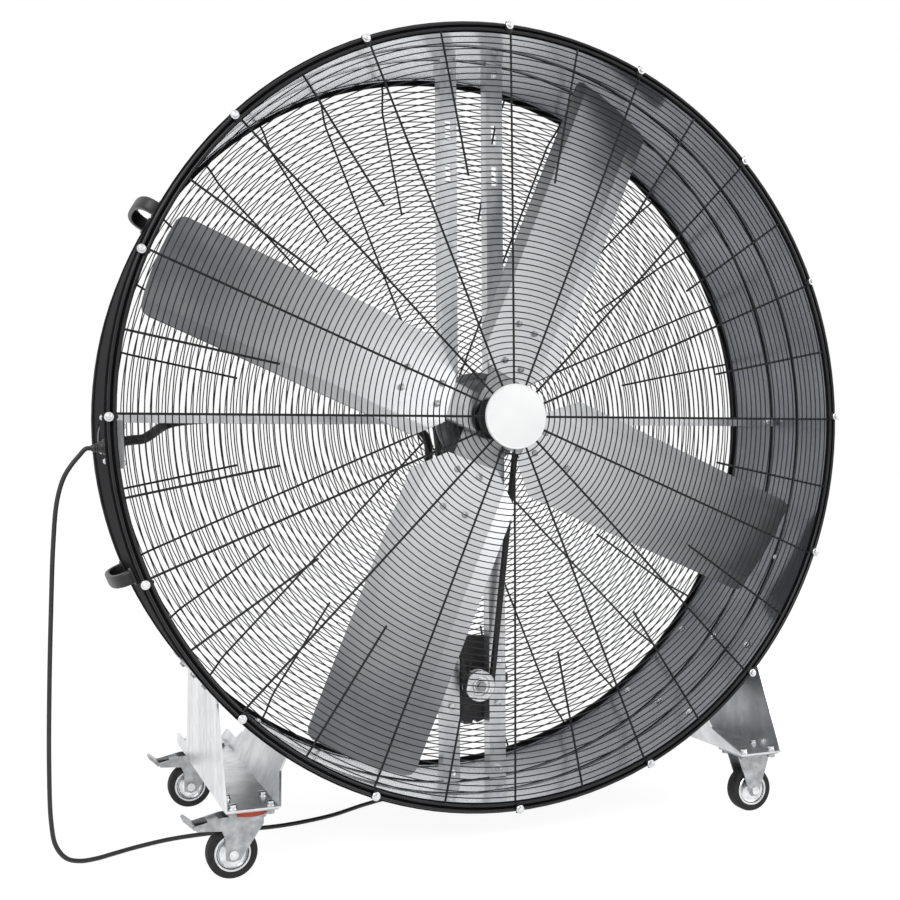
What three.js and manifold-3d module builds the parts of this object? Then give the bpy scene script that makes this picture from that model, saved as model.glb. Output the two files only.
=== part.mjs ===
// A belt-driven drum fan on a four-caster base, in millimetres, +Z up, air blowing towards -Y.
// The origin is on the floor, in the middle of the two leg bases.
import * as THREE from "three";
import { mergeVertices } from "three/addons/utils/BufferGeometryUtils.js";
import Module from "manifold-3d";

const wasm = await Module();
wasm.setup();

// Driving dimensions ----------------------------------------------------------------------------

const seatGap = 0.3; // left between pieces that touch
const groundClearance = 40.5; // under the drum's rim

const drumRadius = 638.5; // inside of the wall
const drumWall = 3;
const drumDepth = 304;
const drumSides = 72;
const rimStandout = 4.5; // rolled front rim, proud of the wall
const rimDepth = 14;
const rimFlange = 10.5; // front flange, reaching inwards
const rearLip = 9.5;
const rearChamfer = 8;

const guardPlate = 5; // thickness of the guards
const guardWire = 5; // width of their rings and spokes
const guardOverlap = 5; // how far a guard's outer ring stops short of the rim
const spokeCount = 16;
const frontDish = 5;
const rearDish = 26;
const rearDishRun = 46; // radial width of the rear guard's sloping band
const badgeRadius = 53.5;
const badgeThickness = 6;

const legChannel = 76; // inside width of a leg at its base
const legLength = 476;
const legSheet = 3;
const legFlange = 22; // half the width of a flange that lies on the drum
const legOuterSeat = 40; // degrees below the horizontal where the outer wall is fixed
const legInnerSeat = 55;
const legOuterBend = -17.4; // from the outer flange's middle to its bend
const legInnerBend = 10;
const legFrontReach = 54; // leg base ahead of the drum's front flange
const legTailRise = 17;
const legTailLength = 94;

const casterInset = 40; // caster centre from the end of the leg base
const casterHeight = 105;
const wheelRadius = 38;
const tyreDepth = 10.7;
const tyreWidth = 24;
const casterTrail = 25;
const casterPlate = { length: 67, width: 77, thickness: 3 };
const forkGap = 31;
const forkSheet = 2.5;
const axleRadius = 4;
const raceRadius = 24;
const ringRadius = 30;
const kingpinRadius = 5;
const pedalReach = 98; // from the kingpin to the pedal's tip

const railWidth = 31;
const railDepth = 25;
const railWall = 2.5;
const railSpacing = 88; // between the middles of the two rails
const railSetback = 172; // front of the rails behind the drum's front flange
const slotHeight = 34;
const slotWidth = 12;
const strutSize = 16;
const strutWall = 3;

const shaftRadius = 12.5;
const bearingRadius = 20;
const bearingWidth = 14;
const housingGap = 1.5; // between the bearing housing and the rails
const housingLength = 60;
const housingPlate = 5;
const housingHeight = 90;

const bladeCount = 4;
const bladeTipGap = 28.5; // to the drum's wall
const bladeRootRadius = 80;
const bladeChord = 190;
const bladePitch = 18.7; // degrees
const bladeSheet = 2.5;
const bladeEdge = 27; // width of the bent edges
const bladeBend = 5; // how far an edge is bent forward
const bladeCorner = 14;
const firstBladeAngle = 67; // degrees, anticlockwise from +X as seen from the front
const hubSetback = 98; // middle of the hub's arms behind the drum's front flange
const hubRadius = 30;
const hubArmLength = 190;
const hubArmWidth = 70;
const hubArmThickness = 6;

const beltSetback = 154; // middle of the belt behind the drum's front flange
const beltWidth = 11;
const beltThickness = 7;
const fanPulleyRadius = 82;
const motorPulleyRadius = 27.5;
const pulleyWidth = 20;
const motorWallGap = 172.5; // motor shaft to the drum's wall
const motorShaftRadius = 9.5;
const motorRadius = 78;
const motorFins = 20;
const motorFinDepth = 6;
const motorGuardGap = 9.4; // between the cowl and the rear guard
const motorBodyShare = 0.71; // of the motor's length, the rest is its cowl
const motorPlate = { width: 118, top: 81, bottom: 52, thickness: 5 };
const terminalBox = { width: 44, depth: 60, height: 65 };

const switchBox = { reach: 18, depth: 135, height: 71, top: -9, setback: 24 };
const rockerWidth = 20; // along Y
const rockerHeight = 28;
const rockerSetback = 145;
const rockerDrop = 26;
const rockerTilt = 7; // degrees, at rest in its off position
const conduitRadius = 8;
const conduitBore = 5.5;
const conduitRibs = 50;

const handleLength = 150;
const handleGripWidth = 22;
const handleReach = 36;
const handleBar = 9;
const handleArm = 16;
const handleSetback = 172; // middle of the handles behind the drum's front flange
const handleAngles = { upper_handle: 150, lower_handle: -157.5 };

const cordRadius = 3.5;
const glandSetback = 39;
const glandDrop = 48;
const glandLength = 22;
const coilTurns = 7;
const coilClearance = 0.45;
const coilCentre = new THREE.Vector2(-20, 165);

// Places worked out from them -------------------------------------------------------------------

const drumOuter = drumRadius + drumWall;
const facetCosine = Math.cos(Math.PI / drumSides); // a flat side of the drum lies this much nearer
const wallInside = drumRadius * facetCosine;
const wallOutside = drumOuter * facetCosine;
const rimRadius = drumOuter + rimStandout;
const axisHeight = rimRadius + groundClearance;
const drumFront = legFrontReach - legLength / 2;
const drumRear = drumFront + drumDepth;
const railX = railSpacing / 2;
const railFront = drumFront + railSetback;
const railRear = railFront + railDepth;
const bladeTipRadius = drumRadius - bladeTipGap;
const motorDrop = drumRadius - motorWallGap;
const hubPlane = drumFront + hubSetback;
const beltPlane = drumFront + beltSetback;
const legBaseTop = casterHeight + seatGap + legSheet;
const housingRadius = railX - railWidth / 2 - housingGap;
const motorPlateFront = railRear + seatGap;
const motorFront = motorPlateFront + motorPlate.thickness + seatGap;
const motorRear = drumRear + seatGap + rearDish - motorGuardGap;
const motorBodyLength = (motorRear - motorFront) * motorBodyShare;
const coilPitch = 2 * cordRadius + coilClearance;
const coilInnerRadius = 8.15 * cordRadius; // middle of the innermost turn
const degrees = THREE.MathUtils.degToRad;
const outerLegBend = onFlatSide(legOuterSeat, legOuterBend);
const legCentreX = outerLegBend[0] - legChannel / 2;

// Finishes --------------------------------------------------------------------------------------

function finish(color, roughness, metalness) {
  return new THREE.MeshStandardMaterial({ color, roughness, metalness });
}

const finishes = {
  blackPaint: () => finish(0x17181a, 0.35, 0.1),
  blackWire: () => finish(0x121314, 0.45, 0.3),
  galvanised: () => finish(0xb9bcbe, 0.38, 0.85),
  bladeMetal: () => finish(0x8b8e92, 0.4, 0.85),
  castMetal: () => finish(0x54575b, 0.5, 0.8),
  motorPaint: () => finish(0x1b1c1e, 0.5, 0.2),
  rubber: () => finish(0x26272a, 0.85, 0),
  plasticBlack: () => finish(0x202123, 0.6, 0),
  plasticRed: () => finish(0xc8432c, 0.5, 0),
  badgeWhite: () => finish(0xf4f5f5, 0.4, 0),
  brightSteel: () => finish(0xc6c9cc, 0.25, 0.95),
};

// Solids and meshes -----------------------------------------------------------------------------

function toSolid(geometry) {
  const bare = new THREE.BufferGeometry();
  bare.setAttribute("position", geometry.getAttribute("position").clone());
  if (geometry.index) bare.setIndex(geometry.index.clone());
  const merged = mergeVertices(bare, 1e-4);
  const mesh = new wasm.Mesh({
    numProp: 3,
    vertProperties: merged.attributes.position.array,
    triVerts: new Uint32Array(merged.index.array),
  });
  return new wasm.Manifold(mesh);
}

function toGeometry(solid) {
  const mesh = solid.getMesh();
  const geometry = new THREE.BufferGeometry();
  geometry.setAttribute("position", new THREE.BufferAttribute(mesh.vertProperties, 3));
  geometry.setIndex(new THREE.BufferAttribute(mesh.triVerts, 1));
  return geometry;
}

// Turns a closed geometry's faces outwards.
function facingOut(geometry) {
  if (toSolid(geometry).volume() >= 0) return geometry;
  const flat = geometry.index ? geometry.toNonIndexed() : geometry;
  const positions = flat.attributes.position.array;
  for (let i = 0; i < positions.length; i += 9) {
    for (let k = 0; k < 3; k++) {
      [positions[i + k], positions[i + 3 + k]] = [positions[i + 3 + k], positions[i + k]];
    }
  }
  return flat;
}

function join(...geometries) {
  return toGeometry(geometries.map(toSolid).reduce((a, b) => a.add(b)));
}

function cut(geometry, ...tools) {
  return toGeometry(tools.map(toSolid).reduce((a, b) => a.subtract(b), toSolid(geometry)));
}

function overlapOf(geometry, other) {
  return toGeometry(toSolid(geometry).intersect(toSolid(other)));
}

function place(parent, name, geometry, makeFinish, position = [0, 0, 0]) {
  const flat = geometry.index ? geometry.toNonIndexed() : geometry;
  flat.computeVertexNormals();
  const mesh = new THREE.Mesh(flat, makeFinish());
  mesh.name = name;
  mesh.position.set(...position);
  parent.add(mesh);
  return mesh;
}

// Shapes ----------------------------------------------------------------------------------------

function block(x0, x1, y0, y1, z0, z1) {
  const box = new THREE.BoxGeometry(x1 - x0, y1 - y0, z1 - z0);
  return box.translate((x0 + x1) / 2, (y0 + y1) / 2, (z0 + z1) / 2);
}

function shapeOf(points, holes = []) {
  const shape = new THREE.Shape(points.map(([a, b]) => new THREE.Vector2(a, b)));
  for (const hole of holes) shape.holes.push(new THREE.Path(hole.map(([a, b]) => new THREE.Vector2(a, b))));
  return shape;
}

function extrude(points, depth, holes) {
  return new THREE.ExtrudeGeometry(shapeOf(points, holes), { depth, bevelEnabled: false });
}

// An outline in X and Z, extruded from y0 to y1.
function slabY(points, y0, y1, holes) {
  return extrude(points, y1 - y0, holes).rotateX(Math.PI / 2).translate(0, y1, 0);
}

// An outline in Y and Z, extruded from x0 to x1.
function slabX(points, x0, x1) {
  const turn = new THREE.Matrix4().set(0, 0, 1, x0, 1, 0, 0, 0, 0, 1, 0, 0, 0, 0, 0, 1);
  return extrude(points, x1 - x0).applyMatrix4(turn);
}

// A closed profile of [radius, y] points, turned about Y.
function turned(profile, sides, phase = 0) {
  const points = [...profile, profile[0]].map(([r, y]) => new THREE.Vector2(r, y));
  return facingOut(new THREE.LatheGeometry(points, sides, phase));
}

function disc(radius, y0, y1, sides) {
  return new THREE.CylinderGeometry(radius, radius, y1 - y0, sides).translate(0, (y0 + y1) / 2, 0);
}

function tube(inner, outer, y0, y1, sides) {
  return turned([[inner, y0], [outer, y0], [outer, y1], [inner, y1]], sides);
}

function upright(geometry) {
  return geometry.rotateX(Math.PI / 2);
}

function arcPoints(radius, from, to, steps) {
  return Array.from({ length: steps + 1 }, (_, i) => {
    const angle = from + ((to - from) * i) / steps;
    return [radius * Math.cos(angle), radius * Math.sin(angle)];
  });
}

// The outline of a folded sheet: its inside face is the given line, its thickness lies to the left.
function foldedSheet(line, thickness) {
  const sides = line.slice(1).map((point, i) => {
    const run = new THREE.Vector2(point[0] - line[i][0], point[1] - line[i][1]).normalize();
    return { run, normal: new THREE.Vector2(-run.y, run.x) };
  });
  const outer = line.map(([a, b], i) => {
    const before = sides[Math.max(i - 1, 0)].normal;
    const after = sides[Math.min(i, sides.length - 1)].normal;
    const mitre = before.clone().add(after).normalize();
    const reach = thickness / mitre.dot(before);
    return [a + mitre.x * reach, b + mitre.y * reach];
  });
  return [...line, ...outer.reverse()];
}

// A tube swept through points, with a radius for each, capped at its ends or bored through.
function sweptTube(points, radii, sides, bore) {
  const frames = sweepFrames(points);
  const rings = frames.map((frame, i) => ringAround(frame, radii[i], sides));
  const positions = [];
  const quad = (a, b, c, d) => [a, b, c, a, c, d].forEach((p) => positions.push(p.x, p.y, p.z));
  const skin = (layers) => {
    for (let i = 1; i < layers.length; i++) {
      for (let k = 0; k < sides; k++) {
        const next = (k + 1) % sides;
        quad(layers[i - 1][k], layers[i - 1][next], layers[i][next], layers[i][k]);
      }
    }
  };
  if (bore) {
    const inner = boreFrames(frames, bore.turn).map((frame) => ringAround(frame, bore.radius, sides));
    skin([...rings, ...inner.reverse(), rings[0]]);
  } else {
    skin(rings);
    for (const [ring, turn] of [[rings[0], -1], [rings[rings.length - 1], 1]]) {
      for (let k = 1; k < sides - 1; k++) {
        const fan = turn > 0 ? [ring[0], ring[k], ring[k + 1]] : [ring[0], ring[k + 1], ring[k]];
        fan.forEach((p) => positions.push(p.x, p.y, p.z));
      }
    }
  }
  const geometry = new THREE.BufferGeometry();
  geometry.setAttribute("position", new THREE.Float32BufferAttribute(positions, 3));
  return facingOut(geometry);
}

function sweepFrames(points) {
  const along = points.map((_, i) => {
    const from = points[Math.max(i - 1, 0)];
    return points[Math.min(i + 1, points.length - 1)].clone().sub(from).normalize();
  });
  let side = new THREE.Vector3(0, 0, 1).cross(along[0]).normalize();
  return points.map((centre, i) => {
    side = side.clone().addScaledVector(along[i], -side.dot(along[i])).normalize();
    return { centre, along: along[i], side, up: along[i].clone().cross(side) };
  });
}

// Only the frames that a bore needs: its ends, and one wherever the path has turned enough.
function boreFrames(frames, turn) {
  let last = frames[0];
  return frames.filter((frame, i) => {
    const isEnd = i === 0 || i === frames.length - 1;
    const kept = isEnd || frame.along.angleTo(last.along) > turn;
    if (kept) last = frame;
    return kept;
  });
}

function ringAround({ centre, side, up }, radius, sides) {
  return Array.from({ length: sides }, (_, k) => {
    const angle = (2 * Math.PI * (k + 0.5)) / sides;
    const point = centre.clone().addScaledVector(side, radius * Math.cos(angle));
    return point.addScaledVector(up, radius * Math.sin(angle));
  });
}

// Drum and guards -------------------------------------------------------------------------------

// What is measured from the fan axis.
const drumGroup = new THREE.Group();
drumGroup.position.set(0, 0, axisHeight);

function makeDrum() {
  const chamferStart = drumRear - rearChamfer;
  const profile = [
    [drumRadius - rimFlange, drumFront],
    [rimRadius, drumFront],
    [rimRadius, drumFront + rimDepth],
    [drumOuter, drumFront + rimDepth],
    [drumOuter, chamferStart],
    [drumRadius - rearLip / 3, drumRear],
    [drumRadius - rearLip, drumRear],
    [drumRadius - rearLip, drumRear - drumWall],
    [drumRadius, chamferStart],
    [drumRadius, drumFront + drumWall],
    [drumRadius - rimFlange, drumFront + drumWall],
  ];
  const shell = turned(profile, drumSides, Math.PI / drumSides);
  const y = drumFront + rockerSetback;
  const halfWidth = rockerWidth / 2 + seatGap;
  const halfHeight = rockerHeight / 2 + 2;
  const opening = block(
    -rimRadius - 10, -rimRadius + 30,
    y - halfWidth, y + halfWidth,
    -rockerDrop - halfHeight, -rockerDrop + halfHeight,
  );
  place(drumGroup, "drum_shell", cut(shell, opening), finishes.blackPaint);
}

// A web of rings and spokes round a small disc; dish gives how far a radius stands out along Y.
function guardWeb(ringRadii, y0, dish) {
  const half = guardWire / 2;
  const sector = (2 * Math.PI) / spokeCount;
  const positions = [];
  const at = (radius, angle, back) => {
    const y = y0 + dish(radius) + (back ? guardPlate : 0);
    return [radius * Math.cos(angle), y, radius * Math.sin(angle)];
  };
  const quad = (a, b, c, d) => positions.push(...a, ...b, ...c, ...a, ...c, ...d);
  const wall = (r0, a0, r1, a1) => quad(at(r0, a0), at(r1, a1), at(r1, a1, true), at(r0, a0, true));
  const patch = (r0, a0, a1, r1, b0, b1) => {
    quad(at(r0, a0), at(r0, a1), at(r1, b1), at(r1, b0));
    quad(at(r1, b0, true), at(r1, b1, true), at(r0, a1, true), at(r0, a0, true));
  };
  const stops = (radius, k) => [-half / radius, half / radius, sector / 2, sector - half / radius]
    .map((angle) => angle + k * sector);

  ringRadii.forEach((ring, index) => {
    const isDisc = index === 0;
    const isRim = index === ringRadii.length - 1;
    const inner = isDisc ? 0 : ring - half;
    const outer = isRim ? rimRadius - guardOverlap : ring + half;
    for (let k = 0; k < spokeCount; k++) {
      const out = stops(outer, k);
      const near = isDisc ? out : stops(inner, k);
      for (let i = 0; i < 3; i++) {
        patch(inner, near[i], near[i + 1], outer, out[i], out[i + 1]);
        if (i > 0 || isRim) wall(outer, out[i], outer, out[i + 1]);
        if (i > 0 && !isDisc) wall(inner, near[i + 1], inner, near[i]);
      }
      if (isRim) continue;
      const next = ringRadii[index + 1] - half;
      const far = stops(next, k);
      patch(outer, out[0], out[1], next, far[0], far[1]);
      wall(outer, out[0], next, far[0]);
      wall(next, far[1], outer, out[1]);
    }
  });
  const web = new THREE.BufferGeometry();
  web.setAttribute("position", new THREE.Float32BufferAttribute(positions, 3));
  return facingOut(withoutSlivers(web));
}

// Leaves out triangles that have no area, such as those at the middle of a disc.
function withoutSlivers(geometry) {
  const all = geometry.attributes.position.array;
  const corner = (i) => new THREE.Vector3(...all.slice(i, i + 3));
  const kept = [];
  for (let i = 0; i < all.length; i += 9) {
    const triangle = new THREE.Triangle(corner(i), corner(i + 3), corner(i + 6));
    if (triangle.getArea() > 1e-6) kept.push(...all.slice(i, i + 9));
  }
  return geometry.setAttribute("position", new THREE.Float32BufferAttribute(kept, 3));
}

function makeGuards() {
  const rimRing = drumRadius - rimFlange + guardWire / 2;
  const frontRings = [0.085, 0.31, 0.54, 0.77].map((share) => share * rimRing);
  const frontY = drumFront - seatGap - guardPlate;
  const frontBow = (radius) => -frontDish * (1 - Math.min(radius / rimRing, 1) ** 2);
  place(drumGroup, "front_guard", guardWeb([...frontRings, rimRing], frontY, frontBow), finishes.blackWire);

  const panRing = drumRadius - rearLip - rearDishRun;
  const rearRings = [0.09, 0.39, 0.7].map((share) => share * panRing);
  const lipRing = drumRadius - rearLip + guardWire / 2;
  const slope = (radius) => rearDish * THREE.MathUtils.clamp((lipRing - radius) / (lipRing - panRing), 0, 1);
  const rear = guardWeb([...rearRings, panRing, lipRing], drumRear + seatGap, slope);
  place(drumGroup, "rear_guard", rear, finishes.blackWire);

  const badgeBack = frontY - frontDish - seatGap;
  const badge = turned([
    [0, badgeBack - badgeThickness],
    [badgeRadius - 4, badgeBack - badgeThickness],
    [badgeRadius, badgeBack - badgeThickness + 2.5],
    [badgeRadius, badgeBack],
    [0, badgeBack],
  ], 28);
  place(drumGroup, "guard_badge", badge, finishes.badgeWhite);
}

// Rails, struts and bearings --------------------------------------------------------------------

function makeRails() {
  const half = railWidth / 2;
  const outerX = railX + half;
  const end = Math.sqrt(wallInside ** 2 - outerX ** 2) - seatGap;
  for (const [name, side] of [["left_rail", -1], ["right_rail", 1]]) {
    const channel = [
      [-half, railFront],
      [half, railFront],
      [half, railRear],
      [half - railWall, railRear],
      [half - railWall, railFront + railWall],
      [-half + railWall, railFront + railWall],
      [-half + railWall, railRear],
      [-half, railRear],
    ];
    const bar = extrude(channel, 2 * end).translate(0, 0, -end);
    const slots = [510, 436].map((height) => block(
      -slotWidth / 2, slotWidth / 2,
      railFront - 1, railFront + railWall + 1,
      height - slotHeight / 2, height + slotHeight / 2,
    ));
    place(drumGroup, name, cut(bar, ...slots), finishes.galvanised, [side * railX, 0, 0]);
  }
}

function makeStruts() {
  const half = strutSize / 2;
  const inner = railX + railWidth / 2 + seatGap;
  const outer = wallInside - seatGap;
  const front = railFront + railWall;
  const angle = [
    [front, -half],
    [front + strutWall, -half],
    [front + strutWall, half - strutWall],
    [front + strutSize, half - strutWall],
    [front + strutSize, half],
    [front, half],
  ];
  place(drumGroup, "left_strut", slabX(angle, -outer, -inner), finishes.galvanised);
  place(drumGroup, "right_strut", slabX(angle, inner, outer), finishes.galvanised);
}

function makeBearings() {
  const plateFront = railRear + seatGap;
  const tubeFront = plateFront - railDepth - 6;
  const tubeRear = tubeFront + housingLength;
  const plateHalf = railX + railWidth / 2;
  const plate = block(
    -plateHalf, plateHalf,
    plateFront, plateFront + housingPlate,
    -housingHeight / 2, housingHeight / 2,
  );
  const barrel = disc(housingRadius, tubeFront, tubeRear, 24);
  const bore = disc(bearingRadius + seatGap, tubeFront - 1, tubeRear + 1, 24);
  place(drumGroup, "bearing_housing", cut(join(plate, barrel), bore), finishes.castMetal);

  const bearing = tube(shaftRadius + seatGap, bearingRadius - seatGap / 2, 0, bearingWidth, 20);
  place(drumGroup, "front_bearing", bearing.clone(), finishes.brightSteel, [0, tubeFront + 1, 0]);
  place(drumGroup, "rear_bearing", bearing, finishes.brightSteel, [0, tubeRear - bearingWidth - 1, 0]);
  return tubeRear;
}

// Fan -------------------------------------------------------------------------------------------

// Local x runs out along a blade, y along its chord and z towards the front, all at the blade's pitch.
function bladeFrame(index) {
  const angle = degrees(firstBladeAngle + (360 / bladeCount) * index);
  const pitch = degrees(bladePitch);
  const out = new THREE.Vector3(Math.cos(angle), 0, Math.sin(angle));
  const chord = new THREE.Vector3(-Math.sin(angle), 0, Math.cos(angle));
  const front = new THREE.Vector3(0, -1, 0);
  const across = chord.clone().multiplyScalar(Math.cos(pitch)).addScaledVector(front, Math.sin(pitch));
  const normal = front.clone().multiplyScalar(Math.cos(pitch)).addScaledVector(chord, -Math.sin(pitch));
  return new THREE.Matrix4().makeBasis(out, across, normal).setPosition(0, hubPlane, 0);
}

function bladeOutline() {
  const half = bladeChord / 2;
  const rootHalf = hubArmWidth / 2 + 10;
  const straight = Math.sqrt(bladeTipRadius ** 2 - half ** 2) - bladeCorner;
  const cornerAngle = Math.atan2(half - bladeCorner, straight + bladeCorner);
  const tip = arcPoints(bladeTipRadius, -cornerAngle, cornerAngle, 6);
  return [
    [bladeRootRadius, rootHalf],
    [bladeRootRadius, -rootHalf],
    [bladeRootRadius + half - rootHalf, -half],
    [straight, -half],
    [straight + bladeCorner * 0.75, -half + bladeCorner * 0.3],
    ...tip,
    [straight + bladeCorner * 0.75, half - bladeCorner * 0.3],
    [straight, half],
    [bladeRootRadius + half - rootHalf, half],
  ];
}

function makeFan(shaftRear) {
  const half = bladeChord / 2;
  const seat = hubArmThickness / 2 + seatGap;
  const section = foldedSheet([
    [half, seat + bladeBend],
    [half - bladeEdge, seat],
    [bladeEdge - half, seat],
    [-half, seat + bladeBend],
  ].reverse(), bladeSheet);
  const sheet = slabX(section, bladeRootRadius - 10, bladeTipRadius + 10);
  const outline = extrude(bladeOutline(), 60).translate(0, 0, -30);
  const blade = overlapOf(sheet, outline);

  const arms = [];
  for (let i = 0; i < bladeCount; i++) {
    place(drumGroup, `blade_${i + 1}`, blade.clone(), finishes.bladeMetal).applyMatrix4(bladeFrame(i));
    const arm = block(
      0, hubArmLength,
      -hubArmWidth / 2, hubArmWidth / 2,
      -hubArmThickness / 2, hubArmThickness / 2,
    );
    arms.push(arm.applyMatrix4(bladeFrame(i)));
  }
  const pulleyFront = beltPlane - pulleyWidth / 2;
  const boss = disc(hubRadius, hubPlane - 20, pulleyFront - 2, 24);
  const bore = disc(shaftRadius + seatGap, hubPlane - 60, pulleyFront + 60, 24);
  place(drumGroup, "fan_hub", cut(join(boss, ...arms), bore), finishes.castMetal);
  place(drumGroup, "driven_pulley", pulley(fanPulleyRadius, shaftRadius, 30), finishes.castMetal);

  const shaft = turned([
    [0, hubPlane - 28],
    [shaftRadius - 2, hubPlane - 28],
    [shaftRadius, hubPlane - 26],
    [shaftRadius, shaftRear + 4],
    [0, shaftRear + 4],
  ], 20);
  place(drumGroup, "fan_shaft", shaft, finishes.brightSteel);
}

// A grooved pulley about Y, in the belt's plane.
function pulley(radius, boreRadius, sides) {
  const half = pulleyWidth / 2;
  const grooveHalf = beltWidth / 2 + 0.6;
  const floor = radius - beltThickness;
  const profile = [
    [boreRadius + seatGap, -half],
    [radius, -half],
    [radius, -grooveHalf],
    [floor, -grooveHalf],
    [floor, grooveHalf],
    [radius, grooveHalf],
    [radius, half],
    [boreRadius + seatGap, half],
  ];
  return turned(profile, sides).translate(0, beltPlane, 0);
}

// A belt loop at one offset from the pulleys' groove floors: the big pulley at the origin.
function beltLoop(offset) {
  const big = fanPulleyRadius - beltThickness + offset;
  const small = motorPulleyRadius - beltThickness + offset;
  const lean = Math.asin((big - small) / motorDrop);
  const over = arcPoints(big, -lean, Math.PI + lean, 18);
  const under = arcPoints(small, Math.PI + lean, 2 * Math.PI - lean, 10);
  return [...over, ...under.map(([x, z]) => [x, z - motorDrop])];
}

function makeBelt() {
  const inside = beltLoop(0.6);
  const outside = beltLoop(0.6 + beltThickness);
  const belt = slabY(outside, beltPlane - beltWidth / 2, beltPlane + beltWidth / 2, [inside]);
  place(drumGroup, "drive_belt", belt, finishes.rubber);
}

// Motor -----------------------------------------------------------------------------------------

function finnedOutline() {
  const points = [];
  const step = Math.PI / motorFins;
  for (let k = 0; k < motorFins; k++) {
    for (const [offset, radius] of [[-0.4, 0], [-0.3, 1], [0.3, 1], [0.4, 0]]) {
      const angle = (2 * k + offset * 2) * step;
      const reach = motorRadius - motorFinDepth * (1 - radius);
      points.push([reach * Math.cos(angle), reach * Math.sin(angle)]);
    }
  }
  return points;
}

function makeMotor() {
  const group = new THREE.Group();
  group.position.set(0, 0, -motorDrop);
  drumGroup.add(group);

  const halfWidth = motorPlate.width / 2;
  const plate = block(
    -halfWidth, halfWidth,
    motorPlateFront, motorPlateFront + motorPlate.thickness,
    -motorPlate.bottom, motorPlate.top,
  );
  const window = disc(motorShaftRadius + 10, motorPlateFront - 1, motorFront + 1, 20);
  place(group, "motor_plate", cut(plate, window), finishes.galvanised);

  const bodyRear = motorFront + motorBodyLength;
  const shaftEnd = motorFront + motorBodyLength * 0.6;
  const body = slabY(finnedOutline(), motorFront, bodyRear);
  const bore = disc(motorShaftRadius + seatGap, motorFront - 1, shaftEnd + seatGap, 20);
  place(group, "motor_body", cut(body, bore), finishes.motorPaint);

  const cowlFront = bodyRear + seatGap;
  const cowl = turned([
    [0, cowlFront],
    [motorRadius, cowlFront],
    [motorRadius, motorRear - 14],
    [motorRadius - 14, motorRear],
    [0, motorRear],
  ], 24);
  place(group, "motor_cowl", cowl, finishes.motorPaint);

  const shaft = disc(motorShaftRadius, beltPlane - pulleyWidth / 2 - 4, shaftEnd, 16);
  place(group, "motor_shaft", shaft, finishes.brightSteel);
  place(group, "motor_pulley", pulley(motorPulleyRadius, motorShaftRadius, 18), finishes.brightSteel);

  const boxRight = -motorRadius - seatGap;
  const boxFront = motorFront + (motorBodyLength - terminalBox.depth) / 2;
  const box = block(
    boxRight - terminalBox.width, boxRight,
    boxFront, boxFront + terminalBox.depth,
    -terminalBox.height / 2, terminalBox.height / 2,
  );
  place(group, "terminal_box", box, finishes.motorPaint);
  return new THREE.Vector3(
    boxRight - terminalBox.width / 2,
    boxFront + terminalBox.depth / 2,
    terminalBox.height / 2 - motorDrop,
  );
}

// Switch, conduit and handles -------------------------------------------------------------------

function makeSwitch() {
  const bottom = switchBox.top - switchBox.height;
  const normalAngle = Math.PI / drumSides * 2; // the flat side of the drum that the box's foot meets
  const lift = bottom * Math.sin(normalAngle);
  const back = -(wallInside - seatGap + lift) / Math.cos(normalAngle);
  const front = drumFront + switchBox.setback;
  const rear = front + switchBox.depth;
  const rockerY = drumFront + rockerSetback;
  const box = block(back, back + switchBox.reach, front, rear, bottom, switchBox.top);
  const pocket = block(
    back - 1, back + 12,
    rockerY - rockerWidth / 2 - seatGap, rockerY + rockerWidth / 2 + seatGap,
    -rockerDrop - rockerHeight / 2 - 2, -rockerDrop + rockerHeight / 2 + 2,
  );
  place(drumGroup, "switch_box", cut(box, pocket), finishes.galvanised);

  const hinge = [-wallOutside + 6, rockerY, -rockerDrop];
  const halfHeight = rockerHeight / 2;
  const rocker = slabY([
    [2, -halfHeight],
    [2, halfHeight],
    [-6, halfHeight],
    [-7.5, 0],
    [-6, -halfHeight],
  ], -rockerWidth / 2, rockerWidth / 2);
  const mesh = place(drumGroup, "switch_rocker", rocker, finishes.plasticBlack, hinge);
  mesh.rotation.y = degrees(rockerTilt);
  return new THREE.Vector3(back + switchBox.reach, rear - conduitRadius - 3, -38);
}

// Corrugated conduit from the switch box, behind the left strut, to the motor's terminal box.
function makeConduit(boxPort, motorPort) {
  const behind = railRear + conduitRadius + 3;
  const downX = motorPort.x;
  const underStrut = [
    [seatGap, 0, 0],
    [9, 0, 0],
    [18, 0.03, 1],
    [28.5, 0.1, 2.5],
    [43, 0.21, 4],
    [55, 0.37, 10.3],
    [62.6, 0.53, 15],
    [70.5, 0.73, 20.3],
    [80, 0.92, 25.5],
    [89, 0.99, 29.5],
    [102, 1, 32.8],
  ].map(([dx, share, dz]) => [boxPort.x + dx, boxPort.y + share * (behind - boxPort.y), boxPort.z + dz]);
  const route = [
    ...underStrut,
    [boxPort.x + 150, behind, -5],
    [-400, behind, -5],
    [-250, behind, -5],
    [-160, behind, -8],
    [downX - 8, behind + 1, -34],
    [downX, behind + 4, -90],
    [downX, behind + 12, -220],
    [downX, motorPort.y, -360],
    [downX, motorPort.y, motorPort.z + 18],
    [downX, motorPort.y, motorPort.z + 9],
    [downX, motorPort.y, motorPort.z + seatGap],
  ].map((point) => new THREE.Vector3(...point));
  const curve = new THREE.CatmullRomCurve3(route, false, "centripetal");
  const count = 2 * conduitRibs;
  const points = curve.getSpacedPoints(count);
  const radii = points.map((_, i) => {
    const plainEnd = i < 2 || i > count - 2;
    return plainEnd || i % 2 ? conduitRadius : conduitRadius - 1.4;
  });
  const hose = sweptTube(points, radii, 8, { radius: conduitBore, turn: degrees(8) });
  place(drumGroup, "motor_conduit", hose, finishes.plasticBlack);
}

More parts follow.
